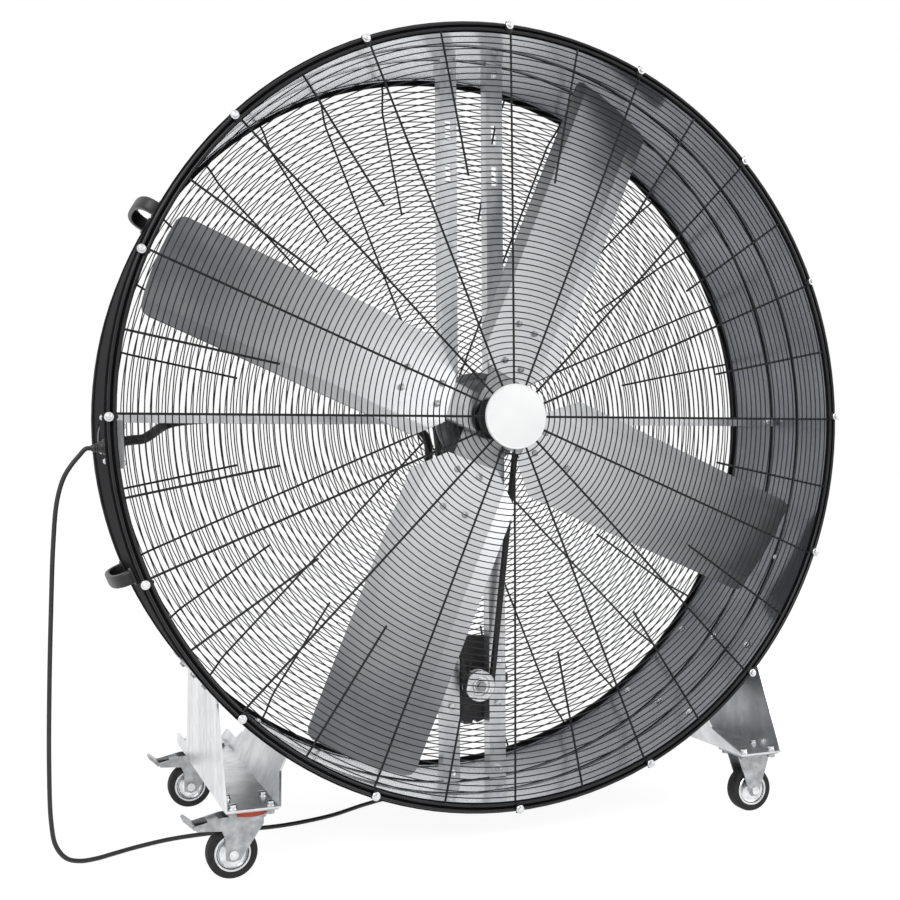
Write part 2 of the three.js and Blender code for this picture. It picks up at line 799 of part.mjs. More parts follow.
function makeHandles() {
  const half = handleLength / 2;
  const y = drumFront + handleSetback;
  const foot = wallOutside + seatGap + 0.5;
  const top = foot + handleReach;
  const outer = [
    [-half, foot],
    [-half - 5, top - handleBar - 6],
    [-half * 0.82, top - 5],
    [-half * 0.42, top],
    [half * 0.42, top],
    [half * 0.82, top - 5],
    [half + 5, top - handleBar - 6],
    [half, foot],
  ];
  const inner = [
    [half - handleArm, foot],
    [half - handleArm, top - handleBar - 5],
    [half * 0.4, top - handleBar],
    [-half * 0.4, top - handleBar],
    [-half + handleArm, top - handleBar - 5],
    [-half + handleArm, foot],
  ];
  for (const [name, angle] of Object.entries(handleAngles)) {
    const bridge = slabX([...outer, ...inner], -handleGripWidth / 2, handleGripWidth / 2);
    const mesh = place(drumGroup, name, bridge, finishes.plasticBlack, [0, y, 0]);
    mesh.rotation.y = Math.PI / 2 - degrees(angle);
  }
}

// Legs ------------------------------------------------------------------------------------------

// The trimmed side of a leg, in Y and height, for a wall that meets the drum at this height.
function legOutline(meeting) {
  const end = legLength / 2;
  const bottom = legBaseTop - legSheet - 1;
  const above = axisHeight;
  const frontTop = drumFront + rimDepth + seatGap;
  const rearTop = drumRear - rearChamfer - 2;
  const tail = end - legTailLength;
  return [
    [-end, bottom],
    [end, bottom],
    [end, legBaseTop],
    [end - 11, legBaseTop + legTailRise],
    [tail, legBaseTop + legTailRise],
    [drumRear + 2, Math.min(legBaseTop + 2 * legTailRise, meeting - 1)],
    [rearTop, meeting],
    [rearTop, above],
    [frontTop, above],
    [frontTop, meeting],
    [-end, legBaseTop],
  ];
}

// The point at a distance out from the axis and along the flat side at an angle below the horizontal.
function onFlatSide(angle, along) {
  const a = -degrees(angle);
  const out = wallOutside + seatGap;
  return [out * Math.cos(a) - along * Math.sin(a), axisHeight + out * Math.sin(a) + along * Math.cos(a)];
}

function makeLegs() {
  const wallX = outerLegBend[0];
  const innerBend = onFlatSide(legInnerSeat, legInnerBend);
  const line = [
    onFlatSide(legOuterSeat, legFlange),
    outerLegBend,
    [wallX, legBaseTop],
    [wallX - legChannel, legBaseTop],
    innerBend,
    onFlatSide(legInnerSeat, -legFlange),
  ];
  const middle = wallX - legChannel / 2;
  const sheet = slabY(foldedSheet(line, legSheet), -legLength / 2, legLength / 2);
  const underRim = outerLegBend[1] - 2 * rimStandout;
  const outerWall = overlapOf(sheet, slabX(legOutline(underRim), middle, wallX + 90));
  const flangeEnd = onFlatSide(legInnerSeat, -legFlange)[1] - 2 * legSheet;
  const innerWall = overlapOf(sheet, slabX(legOutline(flangeEnd), middle - 140, middle + legSheet));
  const leg = join(outerWall, innerWall);
  place(root, "right_leg", leg, finishes.galvanised);
  place(root, "left_leg", facingOut(leg.clone().scale(-1, 1, 1)), finishes.galvanised);
}

// Casters ---------------------------------------------------------------------------------------

const plateBottom = casterHeight - casterPlate.thickness;

function casterTopPlate() {
  const halfWidth = casterPlate.width / 2;
  const halfLength = casterPlate.length / 2;
  return block(-halfWidth, halfWidth, -halfLength, halfLength, plateBottom, casterHeight);
}

// Two equal side plates of a fork, either side of the wheel, drilled for the axle.
function forkCheeks(outline, axleX) {
  const inside = forkGap / 2;
  const hole = disc(axleRadius + seatGap, -forkGap, forkGap, 14).translate(axleX, 0, wheelRadius);
  return [-inside - forkSheet, inside].map((y) => cut(slabY(outline, y, y + forkSheet), hole));
}

function makeWheel(parent, name, x) {
  const rimRadiusHere = wheelRadius - tyreDepth;
  const halfTyre = tyreWidth / 2;
  const halfHub = forkGap / 2 - 0.6;
  const centre = [x, 0, wheelRadius];
  const rim = turned([
    [axleRadius + seatGap, -halfHub],
    [10, -halfHub],
    [rimRadiusHere - 4, -halfTyre + 4],
    [rimRadiusHere - seatGap, -halfTyre + 1],
    [rimRadiusHere - seatGap, halfTyre - 1],
    [rimRadiusHere - 4, halfTyre - 4],
    [10, halfHub],
    [axleRadius + seatGap, halfHub],
  ], 20);
  place(parent, `${name}_rim`, rim, finishes.brightSteel, centre);

  const tyre = turned([
    [rimRadiusHere, -halfTyre + 1],
    [wheelRadius - 4, -halfTyre],
    [wheelRadius, -halfTyre + 5],
    [wheelRadius, halfTyre - 5],
    [wheelRadius - 4, halfTyre],
    [rimRadiusHere, halfTyre - 1],
  ], 20);
  place(parent, `${name}_tyre`, tyre, finishes.rubber, centre);

  const end = forkGap / 2 + forkSheet + seatGap;
  const axle = turned([
    [0, -end - 4],
    [7, -end - 4],
    [7, -end],
    [axleRadius, -end],
    [axleRadius, end],
    [7, end],
    [7, end + 4],
    [0, end + 4],
  ], 12);
  place(parent, `${name}_axle`, axle, finishes.brightSteel, centre);
}

// A swivel caster: local +x is the way its wheel trails.
function makeSwivelCaster(name, position) {
  const group = new THREE.Group();
  group.position.set(...position);
  group.rotation.z = Math.PI;
  root.add(group);

  const crownTop = plateBottom - 8.3;
  const crownBottom = crownTop - 5.2;
  const race = upright(disc(raceRadius, crownTop + seatGap, plateBottom + 1, 20));
  const pin = upright(disc(kingpinRadius, crownBottom - 5, plateBottom + 1, 16));
  const nut = upright(disc(kingpinRadius + 3.5, crownBottom - 6, crownBottom - seatGap, 6));
  place(group, `${name}_mount_plate`, join(casterTopPlate(), race, pin, nut), finishes.galvanised);

  const seal = upright(tube(raceRadius + 0.4, ringRadius, crownTop + seatGap, plateBottom - 0.8, 20));
  place(group, `${name}_swivel_ring`, seal, finishes.plasticRed);

  const crown = upright(disc(ringRadius - 2, crownBottom, crownTop, 20));
  const pinHole = upright(disc(kingpinRadius + seatGap, crownBottom - 1, crownTop + 1, 16));
  const boss = casterTrail;
  const cheek = [
    [-20, crownTop],
    [-20, crownTop - 14],
    [boss - 11, wheelRadius - 8],
    [boss, wheelRadius - 11],
    [boss + 11, wheelRadius - 8],
    [boss + 12, wheelRadius + 24],
    [boss + 17, 2 * wheelRadius - 2],
    [pedalReach - 20, 2 * wheelRadius + 1],
    [pedalReach - 14, 2 * wheelRadius + 8],
    [boss + 37, crownTop - 5],
    [boss + 15, crownTop],
  ];
  const fork = join(cut(crown, pinHole), ...forkCheeks(cheek, casterTrail));
  place(group, `${name}_fork`, fork, finishes.galvanised);

  const half = forkGap / 2 - 0.6;
  const underside = 2 * wheelRadius + 3;
  const pedal = slabY([
    [boss + 11, underside + 3],
    [pedalReach - 36, underside],
    [pedalReach - 16, underside - 0.5],
    [pedalReach, crownTop],
    [pedalReach - 3, crownTop + 3],
    [pedalReach - 18, underside + 6],
    [pedalReach - 36, underside + 7],
    [boss + 20, underside + 10],
    [boss + 11, underside + 8],
  ], -half, half);
  place(group, `${name}_brake_pedal`, pedal, finishes.brightSteel);
  makeWheel(group, name, casterTrail);
}

function makeFixedCaster(name, position) {
  const group = new THREE.Group();
  group.position.set(...position);
  root.add(group);
  const cheek = [
    [-casterPlate.length / 2 + 3, plateBottom + 1],
    [-casterPlate.length / 2 + 3, plateBottom - 6],
    [-10, wheelRadius - 3],
    [-6, wheelRadius - 10],
    [6, wheelRadius - 10],
    [10, wheelRadius - 3],
    [casterPlate.length / 2 - 3, plateBottom - 6],
    [casterPlate.length / 2 - 3, plateBottom + 1],
  ];
  const fork = join(casterTopPlate(), ...forkCheeks(cheek, 0));
  place(group, `${name}_fork`, fork, finishes.galvanised);
  makeWheel(group, name, 0);
}

function makeCasters() {
  const y = legLength / 2 - casterInset;
  makeSwivelCaster("front_left", [-legCentreX, -y, 0]);
  makeSwivelCaster("rear_left", [-legCentreX, y, 0]);
  makeFixedCaster("front_right", [legCentreX, -y, 0]);
  makeFixedCaster("rear_right", [legCentreX, y, 0]);
}

// Supply cord -----------------------------------------------------------------------------------

// The gland on the flat side of the drum just below its left edge; returns the exit and its direction.
function makeGland() {
  const tilt = (2 * Math.PI) / drumSides;
  const out = new THREE.Vector3(-Math.cos(tilt), 0, -Math.sin(tilt));
  const seatX = -(wallOutside - glandDrop * Math.sin(tilt)) / Math.cos(tilt);
  const seat = new THREE.Vector3(seatX, drumFront + glandSetback, -glandDrop);
  const gland = turned([
    [0, seatGap],
    [12, seatGap],
    [12, 5],
    [9, 7],
    [8, 12],
    [cordRadius + 1.2, glandLength],
    [0, glandLength],
  ], 16);
  const mesh = place(drumGroup, "cord_gland", gland, finishes.plasticBlack, seat.toArray());
  mesh.quaternion.setFromUnitVectors(new THREE.Vector3(0, 1, 0), out);
  const exit = seat.clone().addScaledVector(out, glandLength + seatGap);
  exit.z += axisHeight;
  return { exit, out };
}

function makeCord({ exit, out }) {
  const floor = cordRadius + 0.1;
  const coilY = coilCentre.y - coilInnerRadius - (coilPitch * coilTurns) / 2;
  const coilStart = coilCentre.x - 2 * cordRadius - seatGap;
  const swing = [
    [16.5, 1, 0.983],
    [28.5, 2, 0.959],
    [38.5, 3, 0.931],
    [47.5, 5, 0.878],
    [52.5, 9, 0.784],
    [55.5, 18, 0.627],
    [57.5, 32, 0.439],
    [57.5, 46, 0.251],
    [54.5, 56, 0.125],
    [47.5, 65, 0.063],
    [32.5, 73, 0.027],
    [12.5, 85, 0.0103],
  ].map(([outwards, back, height]) => [exit.x - outwards, exit.y + back, exit.z * height]);
  const underLeg = [
    [0.98, -49],
    [0.934, -34],
    [0.872, -14],
    [0.78, 6],
    [0.64, 12],
    [0.5, 8],
    [0.36, 30],
    [0.236, 74],
    [0.125, coilY - 6],
    [0.062, coilY],
  ].map(([share, y]) => [coilStart + share * (exit.x - coilStart), y, floor]);
  const end = [[coilStart - 14, coilY, floor], [coilStart, coilY, floor]];
  const hanging = [...swing, ...underLeg, ...end].map((point) => new THREE.Vector3(...point));
  const route = [exit, exit.clone().addScaledVector(out, 2 * cordRadius), ...hanging];
  const curve = new THREE.CatmullRomCurve3(route, false, "centripetal");
  const section = shapeOf(arcPoints(cordRadius, 0, 2 * Math.PI, 8).slice(0, -1));
  const cord = new THREE.ExtrudeGeometry(section, { steps: 56, extrudePath: curve, bevelEnabled: false });
  place(root, "power_cord", cord, finishes.rubber);
  return curve.getLength();
}

// The put-away length: two layers of turns, wound in below and out again above.
function coilPoints() {
  const turnSteps = 24;
  const count = coilTurns * turnSteps;
  const middle = coilTurns / 2;
  const low = cordRadius + 0.1;
  const points = [];
  for (let i = 0; i <= count; i++) {
    const turn = i / turnSteps;
    const radius = coilInnerRadius + coilPitch * Math.abs(turn - middle);
    const climb = THREE.MathUtils.clamp(2 * (turn - middle) + 0.5, 0, 1);
    const angle = 2 * Math.PI * turn - Math.PI / 2;
    points.push(new THREE.Vector3(
      coilCentre.x + radius * Math.cos(angle),
      coilCentre.y + radius * Math.sin(angle),
      low + coilPitch * climb,
    ));
  }
  const lead = 2 * cordRadius;
  const first = points[0];
  const last = points[count];
  const start = [lead, lead / 2].map((back) => new THREE.Vector3(first.x - back, first.y, first.z));
  const end = [0.5, 2, 4.5].map((share) => new THREE.Vector3(last.x + share * lead, last.y, last.z));
  return [...start, ...points, ...end];
}

// The smallest gap between parts of a tube that lie at least half a turn apart.
function leastGap(points, radius, apart) {
  let least = Infinity;
  for (let i = 0; i < points.length; i++) {
    for (let k = i + apart; k < points.length; k++) {
      least = Math.min(least, points[i].distanceTo(points[k]));
    }
  }
  return least - 2 * radius;
}

function lengthOf(points) {
  return points.slice(1).reduce((sum, point, i) => sum + point.distanceTo(points[i]), 0);
}

function makeCoil() {
  const points = coilPoints();
  const radii = points.map(() => cordRadius);
  place(root, "cord_coil", sweptTube(points, radii, 6), finishes.rubber);
  console.log("least gap in the coil:", leastGap(points, cordRadius, 12).toFixed(2), "mm");
  return { end: points[points.length - 1], length: lengthOf(points) };
}

function makePlug(end) {
  const body = turned([
    [0, seatGap],
    [cordRadius + 1, seatGap],
    [6.5, 22],
    [10.6, 24],
    [10.6, 56],
    [9, 60],
    [0, 60],
  ], 12).rotateZ(-Math.PI / 2);
  const blades = [-6.35, 6.35].map((y) => block(58, 76, y - 0.8, y + 0.8, -3.2, 3.2));
  const pin = disc(2.4, 58, 79, 10).rotateZ(-Math.PI / 2).translate(0, 0, -6.4);
  const plug = join(body, ...blades, pin);
  place(root, "power_plug", plug, finishes.plasticBlack, end.toArray());
}

// The whole fan ---------------------------------------------------------------------------------

const root = new THREE.Group();
root.add(drumGroup);

makeDrum();
makeGuards();
makeRails();
makeStruts();
makeFan(makeBearings());
makeBelt();
const motorPort = makeMotor();
const boxPort = makeSwitch();
makeConduit(boxPort, motorPort);
makeHandles();
makeLegs();
makeCasters();
const cordLength = makeCord(makeGland());
const coil = makeCoil();
makePlug(coil.end);
console.log("supply cord:", ((cordLength + coil.length) / 1000).toFixed(2), "m");

export default root;
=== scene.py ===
from math import asin, cos, degrees, pi, radians, sin, tau
import bpy
from mathutils import Matrix, Vector


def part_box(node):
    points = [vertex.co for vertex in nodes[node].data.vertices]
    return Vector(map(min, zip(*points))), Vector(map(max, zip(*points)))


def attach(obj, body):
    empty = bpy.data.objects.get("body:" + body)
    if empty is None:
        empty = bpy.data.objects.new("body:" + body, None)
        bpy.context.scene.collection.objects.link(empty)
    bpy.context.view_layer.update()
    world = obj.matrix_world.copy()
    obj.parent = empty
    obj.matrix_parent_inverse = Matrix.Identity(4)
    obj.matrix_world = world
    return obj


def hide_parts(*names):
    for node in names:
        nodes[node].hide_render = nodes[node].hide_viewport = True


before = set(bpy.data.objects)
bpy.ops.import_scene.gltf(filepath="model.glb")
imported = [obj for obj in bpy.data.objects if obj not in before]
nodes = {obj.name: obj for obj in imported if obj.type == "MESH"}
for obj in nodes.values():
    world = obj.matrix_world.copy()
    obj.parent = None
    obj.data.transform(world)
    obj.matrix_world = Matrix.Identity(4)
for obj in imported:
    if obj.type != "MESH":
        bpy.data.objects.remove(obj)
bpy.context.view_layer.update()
mm = 0.001
axisHeight = 0.6865  # the fan's axis above the floor
atAxis = Matrix.Translation((0, 0, axisHeight))
turnToX = Matrix.Rotation(-pi / 2, 4, "Z")  # from an axis along Y to one along X


# outlines and profiles are in millimetres, finished meshes in metres
def pick(*objects):
    if bpy.context.mode != "OBJECT":
        bpy.ops.object.mode_set(mode="OBJECT")
    bpy.ops.object.select_all(action="DESELECT")
    for each in objects:
        each.select_set(True)
    if objects:
        bpy.context.view_layer.objects.active = objects[-1]


def edit(piece, kind="VERT"):
    pick(piece)
    bpy.ops.object.mode_set(mode="EDIT")
    bpy.ops.mesh.select_mode(type=kind)
    bpy.ops.mesh.select_all(action="SELECT")


def tidyMesh(piece):
    edit(piece)
    bpy.ops.mesh.remove_doubles(threshold=2e-6)
    bpy.ops.mesh.dissolve_degenerate(threshold=1e-6)
    bpy.ops.mesh.select_all(action="SELECT")
    bpy.ops.mesh.normals_make_consistent(inside=False)
    bpy.ops.object.mode_set(mode="OBJECT")


def smooth(piece, angle=35):
    pick(piece)
    bpy.ops.object.shade_smooth_by_angle(angle=radians(angle))


def settle(piece, place=None):
    if place is not None:
        piece.matrix_world = place @ piece.matrix_world
    pick(piece)
    bpy.ops.object.transform_apply(location=True, rotation=True, scale=True)
    return piece


def applied(piece, kind, **values):
    pick(piece)
    modifier = piece.modifiers.new(kind.title(), kind)
    for key, value in values.items():
        setattr(modifier, key, value)
    bpy.ops.object.modifier_apply(modifier=modifier.name)
    return piece


def startOutline(points):  # one vertex, pulled along the points on the XY plane
    bpy.ops.object.select_all(action="DESELECT")
    bpy.ops.mesh.primitive_plane_add(size=0.01)
    piece = bpy.context.object
    edit(piece)
    bpy.ops.mesh.merge(type="CENTER")
    bpy.ops.transform.translate(value=(points[0][0] * mm, points[0][1] * mm, 0))
    for a, b in zip(points, points[1:]):
        step = ((b[0] - a[0]) * mm, (b[1] - a[1]) * mm, 0)
        bpy.ops.mesh.extrude_vertices_move(TRANSFORM_OT_translate={"value": step})
    bpy.ops.mesh.select_all(action="SELECT")
    bpy.ops.mesh.remove_doubles(threshold=1e-6)
    return piece


def lathe(name, points, steps=96, closed=True):  # radius and Y of a profile, turned about the Y axis
    pick()
    piece = startOutline([*points, points[0]] if closed else points)
    bpy.ops.mesh.select_all(action="SELECT")
    bpy.ops.mesh.spin(steps=steps, angle=tau, center=(0, 0, 0), axis=(0, 1, 0))
    tidyMesh(piece)
    piece.name = name
    return piece


def plateOf(name, points, thickness, bevel=0.0, segments=2):  # an outline filled and raised along Z
    pick()
    piece = startOutline([*points, points[0]])
    bpy.ops.mesh.select_all(action="SELECT")
    bpy.ops.mesh.edge_face_add()
    bpy.ops.mesh.extrude_region_move(TRANSFORM_OT_translate={"value": (0, 0, thickness * mm)})
    tidyMesh(piece)
    if bevel:
        applied(piece, "BEVEL", width=bevel * mm, segments=segments, limit_method="ANGLE",
                angle_limit=radians(30))
    piece.name = name
    return piece


def copied(model, place):
    pick(model)
    bpy.ops.object.duplicate(linked=False)
    return settle(bpy.context.object, place)


def named(piece, name):
    piece.name = piece.data.name = name
    return piece


def joined(name, made):
    pick(*made)
    if len(made) > 1:
        bpy.ops.object.join()
    return named(bpy.context.object, name)


def repeated(name, model, places):
    made = [copied(model, place) for place in places]
    bpy.data.objects.remove(model)
    return joined(name, made)


def shifted(x, y, z):
    return Matrix.Translation((x, y, z))


def facing(point, normal, spin=0.0):  # a piece modelled along -Y is set on a point, facing the normal
    turn = Vector((0, -1, 0)).rotation_difference(Vector(normal).normalized())
    return shifted(*point) @ turn.to_matrix().to_4x4() @ Matrix.Rotation(spin, 4, "Y")


def onDrum(radius, degreesRound, y):  # a point on a circle about the fan's axis
    angle = radians(degreesRound)
    return (radius * mm * cos(angle), y * mm, axisHeight + radius * mm * sin(angle))


finishValues = {  # towards the fan's axis another colour (the hub's dark centre, and a painted reflection near the blade roots); to the left of the drum a lighter colour (a painted reflection on the lining)
    "drumPaint": dict(base=(0.008, 0.008, 0.009), shade=(0.014, 0.014, 0.016), metal=0.0, rough=(0.5, 0.62),
                      grain=22, bump=0.05, bumpGrain=260, specular=0.008),
    "rimGloss": dict(base=(0.01, 0.01, 0.011), shade=(0.016, 0.016, 0.018), metal=0.0, rough=(0.12, 0.2),
                     grain=40, bump=0.03, bumpGrain=300, specular=0.3),
    # the lining's lighter colour to the left of the drum is a painted reflection
    "liningPaint": dict(base=(0.27, 0.28, 0.305), shade=(0.19, 0.198, 0.22), metal=1.0, rough=(0.14, 0.24),
                        grain=5, bump=0.05, bumpGrain=130, paintedReflection=(0.22, -0.12, (0.74, 0.76, 0.79))),
    "wirePaint": dict(base=(0.008, 0.008, 0.009), shade=(0.016, 0.016, 0.018), metal=0.0, rough=(0.32, 0.46),
                      grain=60, bump=0.06, bumpGrain=500, specular=0.25),
    "badgeWhite": dict(base=(0.87, 0.88, 0.88), shade=(0.8, 0.81, 0.82), metal=0.0, rough=(0.28, 0.36),
                       grain=9, bump=0.02, bumpGrain=300),
    "galvanised": dict(base=(0.8, 0.81, 0.825), shade=(0.64, 0.65, 0.67), metal=0.85, rough=(0.24, 0.38),
                       grain=30, bump=0.06, bumpGrain=70, stretch=(1, 1, 0.12), crystals=75),
    # the blades' lighter colour towards the roots is a painted reflection
    "bladeSheet": dict(base=(0.25, 0.255, 0.265), shade=(0.17, 0.175, 0.185), metal=0.85, rough=(0.3, 0.44),
                       grain=9, bump=0.05, bumpGrain=420, axisToneAndReflection=(0.1, 0.5, (0.86, 0.87, 0.885))),
    "castHub": dict(base=(0.5, 0.505, 0.515), shade=(0.4, 0.405, 0.415), metal=0.8, rough=(0.34, 0.48),
                    grain=60, bump=0.12, bumpGrain=420, axisToneAndReflection=(0.034, 0.038, (0.035, 0.036, 0.04))),
    "castIron": dict(base=(0.4, 0.405, 0.415), shade=(0.28, 0.285, 0.29), metal=0.8, rough=(0.4, 0.55),
                     grain=120, bump=0.35, bumpGrain=420),
    "brightSteel": dict(base=(0.86, 0.865, 0.87), shade=(0.64, 0.65, 0.67), metal=1.0, rough=(0.18, 0.34),
                        grain=90, bump=0.05, bumpGrain=600),
    "zincPlate": dict(base=(0.5, 0.51, 0.52), shade=(0.33, 0.34, 0.35), metal=0.95, rough=(0.25, 0.42),
                      grain=70, bump=0.06, bumpGrain=340, crystals=160),
    "motorPaint": dict(base=(0.014, 0.014, 0.016), shade=(0.03, 0.03, 0.033), metal=0.0, rough=(0.35, 0.5),
                       grain=80, bump=0.2, bumpGrain=700),
    "beltRubber": dict(base=(0.012, 0.012, 0.012), shade=(0.028, 0.027, 0.026), metal=0.0, rough=(0.6, 0.8),
                       grain=160, bump=0.2, bumpGrain=900),
    "tyreRubber": dict(base=(0.01, 0.01, 0.011), shade=(0.022, 0.022, 0.021), metal=0.0, rough=(0.55, 0.75),
                       grain=140, bump=0.12, bumpGrain=1100, specular=0.3),
    "blackPlastic": dict(base=(0.01, 0.01, 0.011), shade=(0.022, 0.022, 0.024), metal=0.0, rough=(0.34, 0.48),
                         grain=110, bump=0.18, bumpGrain=1500),
    "cordSheath": dict(base=(0.01, 0.01, 0.011), shade=(0.02, 0.02, 0.022), metal=0.0, rough=(0.4, 0.56),
                       grain=90, bump=0.1, bumpGrain=1200),
    "switchGrey": dict(base=(0.46, 0.47, 0.48), shade=(0.36, 0.37, 0.385), metal=0.2, rough=(0.35, 0.5),
                       grain=26, bump=0.08, bumpGrain=620),
    "ringRed": dict(base=(0.62, 0.085, 0.03), shade=(0.48, 0.055, 0.022), metal=0.0, rough=(0.35, 0.5),
                    grain=90, bump=0.1, bumpGrain=900),
}


def addNode(tree, kind, inputs=None, **settings):
    node = tree.nodes.new("ShaderNode" + kind)
    for key, value in settings.items():
        setattr(node, key, value)
    for key, value in (inputs or {}).items():
        node.inputs[key].default_value = value
    return node


def blended(tree, colour, other, share):  # the other colour where the share is 0
    mix = addNode(tree, "Mix", data_type="RGBA")
    mix.inputs["A"].default_value = (*other, 1)
    tree.links.new(share, mix.inputs["Factor"])
    tree.links.new(colour, mix.inputs["B"])
    return mix.outputs["Result"]


def crystalled(tree, colour, place, scale):  # the crystals of the zinc
    spangle = addNode(tree, "TexVoronoi", {"Scale": scale})
    tree.links.new(place, spangle.inputs["Vector"])
    tone = addNode(tree, "MapRange", {"To Min": 0.88, "To Max": 1.08})
    tree.links.new(spangle.outputs["Color"], tone.inputs["Value"])
    mix = addNode(tree, "Mix", data_type="RGBA", blend_type="MULTIPLY")
    mix.inputs["Factor"].default_value = 1
    tree.links.new(colour, mix.inputs["A"])
    tree.links.new(tone.outputs["Result"], mix.inputs["B"])
    return mix.outputs["Result"]


def towardsAxis(tree, place, near, far):  # 0 by the fan's axis, 1 away from it
    flat = addNode(tree, "VectorMath", operation="MULTIPLY_ADD")
    flat.inputs[1].default_value = (1, 0, 1)
    flat.inputs[2].default_value = (0, 0, -axisHeight)
    tree.links.new(place, flat.inputs[0])
    distance = addNode(tree, "VectorMath", operation="LENGTH")
    tree.links.new(flat.outputs["Vector"], distance.inputs[0])
    share = addNode(tree, "MapRange", {"From Min": near, "From Max": far})
    tree.links.new(distance.outputs["Value"], share.inputs["Value"])
    return share.outputs["Result"]


# places the painted reflection on the lining
def reflectionTowardsLeft(tree, place, right, left):  # 0 at the left of the drum, 1 at the right
    along = addNode(tree, "SeparateXYZ")
    tree.links.new(place, along.inputs["Vector"])
    share = addNode(tree, "MapRange", {"From Min": left, "From Max": right}, interpolation_type="SMOOTHSTEP")
    tree.links.new(along.outputs["X"], share.inputs["Value"])
    return share.outputs["Result"]


def makeFinish(name):
    v = finishValues[name]
    material = bpy.data.materials.new(name)
    material.use_nodes = True
    tree = material.node_tree
    link = tree.links.new
    shader = tree.nodes["Principled BSDF"]
    shader.inputs["Metallic"].default_value = v["metal"]
    shader.inputs["Specular IOR Level"].default_value = v.get("specular", 0.5)
    place = addNode(tree, "TexCoord").outputs["Object"]
    mapping = addNode(tree, "Mapping", {"Scale": v.get("stretch", (1, 1, 1))})
    link(place, mapping.inputs["Vector"])
    cloud = addNode(tree, "TexNoise", {"Scale": v["grain"], "Detail": 5})
    link(mapping.outputs["Vector"], cloud.inputs["Vector"])
    ramp = addNode(tree, "ValToRGB")
    for element, position, key in zip(ramp.color_ramp.elements, (0.36, 0.66), ("shade", "base")):
        element.position = position
        element.color = (*v[key], 1)
    link(cloud.outputs["Fac"], ramp.inputs["Fac"])
    colour = ramp.outputs["Color"]
    if "crystals" in v:
        colour = crystalled(tree, colour, place, v["crystals"])
    # another colour near the axis: the hub's dark centre, and on the blades a painted reflection near the roots
    if "axisToneAndReflection" in v:
        near, far, axisColour = v["axisToneAndReflection"]
        colour = blended(tree, colour, axisColour, towardsAxis(tree, place, near, far))
    # a lighter colour to the left of the drum: a painted reflection
    if "paintedReflection" in v:
        right, left, reflectedColour = v["paintedReflection"]
        colour = blended(tree, colour, reflectedColour, reflectionTowardsLeft(tree, place, right, left))
    link(colour, shader.inputs["Base Color"])
    glossy, dull = v["rough"]
    gloss = addNode(tree, "MapRange", {"To Min": dull, "To Max": glossy})
    link(cloud.outputs["Fac"], gloss.inputs["Value"])
    link(gloss.outputs["Result"], shader.inputs["Roughness"])
    fine = addNode(tree, "TexNoise", {"Scale": v["bumpGrain"], "Detail": 3})
    link(mapping.outputs["Vector"], fine.inputs["Vector"])
    bump = addNode(tree, "Bump", {"Strength": v["bump"], "Distance": mm})
    link(fine.outputs["Fac"], bump.inputs["Height"])
    link(bump.outputs["Normal"], shader.inputs["Normal"])
    return material


finishes = {name: makeFinish(name) for name in finishValues}


def finished(piece, finish, body, *standsFor, angle=35):
    piece.data.materials.clear()
    piece.data.materials.append(finishes[finish])
    if piece.type == "MESH" and angle:
        smooth(piece, angle)
    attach(piece, body)
    if standsFor:
        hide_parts(*standsFor)
    return piece


cameraValues = dict(place=(-0.8038, -1.9837, 0.6179), azimuth=-21.07, elevation=-0.428, roll=-0.322,
                    lens=48.07, sensor=36, clip=(0.05, 60))


def makeCamera():
    v = cameraValues
    azimuth, elevation, roll = (radians(v[key]) for key in ("azimuth", "elevation", "roll"))
    ahead = Vector((-sin(azimuth) * cos(elevation), cos(azimuth) * cos(elevation), -sin(elevation)))
    right = ahead.cross(Vector((0, 0, 1))).normalized()
    up = right.cross(ahead)
    turnedRight = right * cos(roll) + up * sin(roll)
    turnedUp = up * cos(roll) - right * sin(roll)
    pick()
    bpy.ops.object.camera_add(location=v["place"])
    camera = bpy.context.object
    axes = Matrix((turnedRight, turnedUp, -ahead)).transposed().to_4x4()
    camera.matrix_world = shifted(*v["place"]) @ axes
    camera.data.lens = v["lens"]
    camera.data.sensor_width = v["sensor"]
    camera.data.clip_start, camera.data.clip_end = v["clip"]
    bpy.context.scene.camera = camera


makeCamera()
print("camera set")

cordValues = dict(radius=3.5, turns=7, turnSteps=24, coilClearance=0.45, coilCentre=(-20, 165), gripY=-145,
                  gripBelowAxis=48, gripLength=22.3, wall=641.5, wallSides=72)
# from the grip down to the floor: away from it, back, and the share of its height
cordSwing = [(16.5, 1, 0.983), (28.5, 2, 0.959), (38.5, 3, 0.931), (47.5, 5, 0.878), (52.5, 9, 0.784),
             (55.5, 18, 0.627), (57.5, 32, 0.439), (57.5, 46, 0.251), (54.5, 56, 0.125), (47.5, 65, 0.063),
             (32.5, 73, 0.027), (12.5, 85, 0.0103)]
# on the floor under the leg: the share of the way from the coil to the grip, and Y
cordUnder = [(0.98, -49), (0.934, -34), (0.872, -14), (0.78, 6), (0.64, 12), (0.5, 8), (0.36, 30), (0.236, 74)]


def centripetal(points, perSpan=8):  # a smooth line through the points, without loops at uneven spacing
    pts = [Vector(p) for p in points]
    pts = [pts[0] * 2 - pts[1], *pts, pts[-1] * 2 - pts[-2]]
    line = []
    for p0, p1, p2, p3 in zip(pts, pts[1:], pts[2:], pts[3:]):
        d0, d1, d2 = ((b - a).length ** 0.5 for a, b in ((p0, p1), (p1, p2), (p2, p3)))
        t1 = (p1 - p0) / d0 - (p2 - p0) / (d0 + d1) + (p2 - p1) / d1
        t2 = (p2 - p1) / d1 - (p3 - p1) / (d1 + d2) + (p3 - p2) / d2
        t1, t2 = t1 * d1, t2 * d1
        for i in range(perSpan):
            t = i / perSpan
            line.append(p1 * (2 * t**3 - 3 * t**2 + 1) + t1 * (t**3 - 2 * t**2 + t)
                        + p2 * (3 * t**2 - 2 * t**3) + t2 * (t**3 - t**2))
    return [*line, pts[-2]]


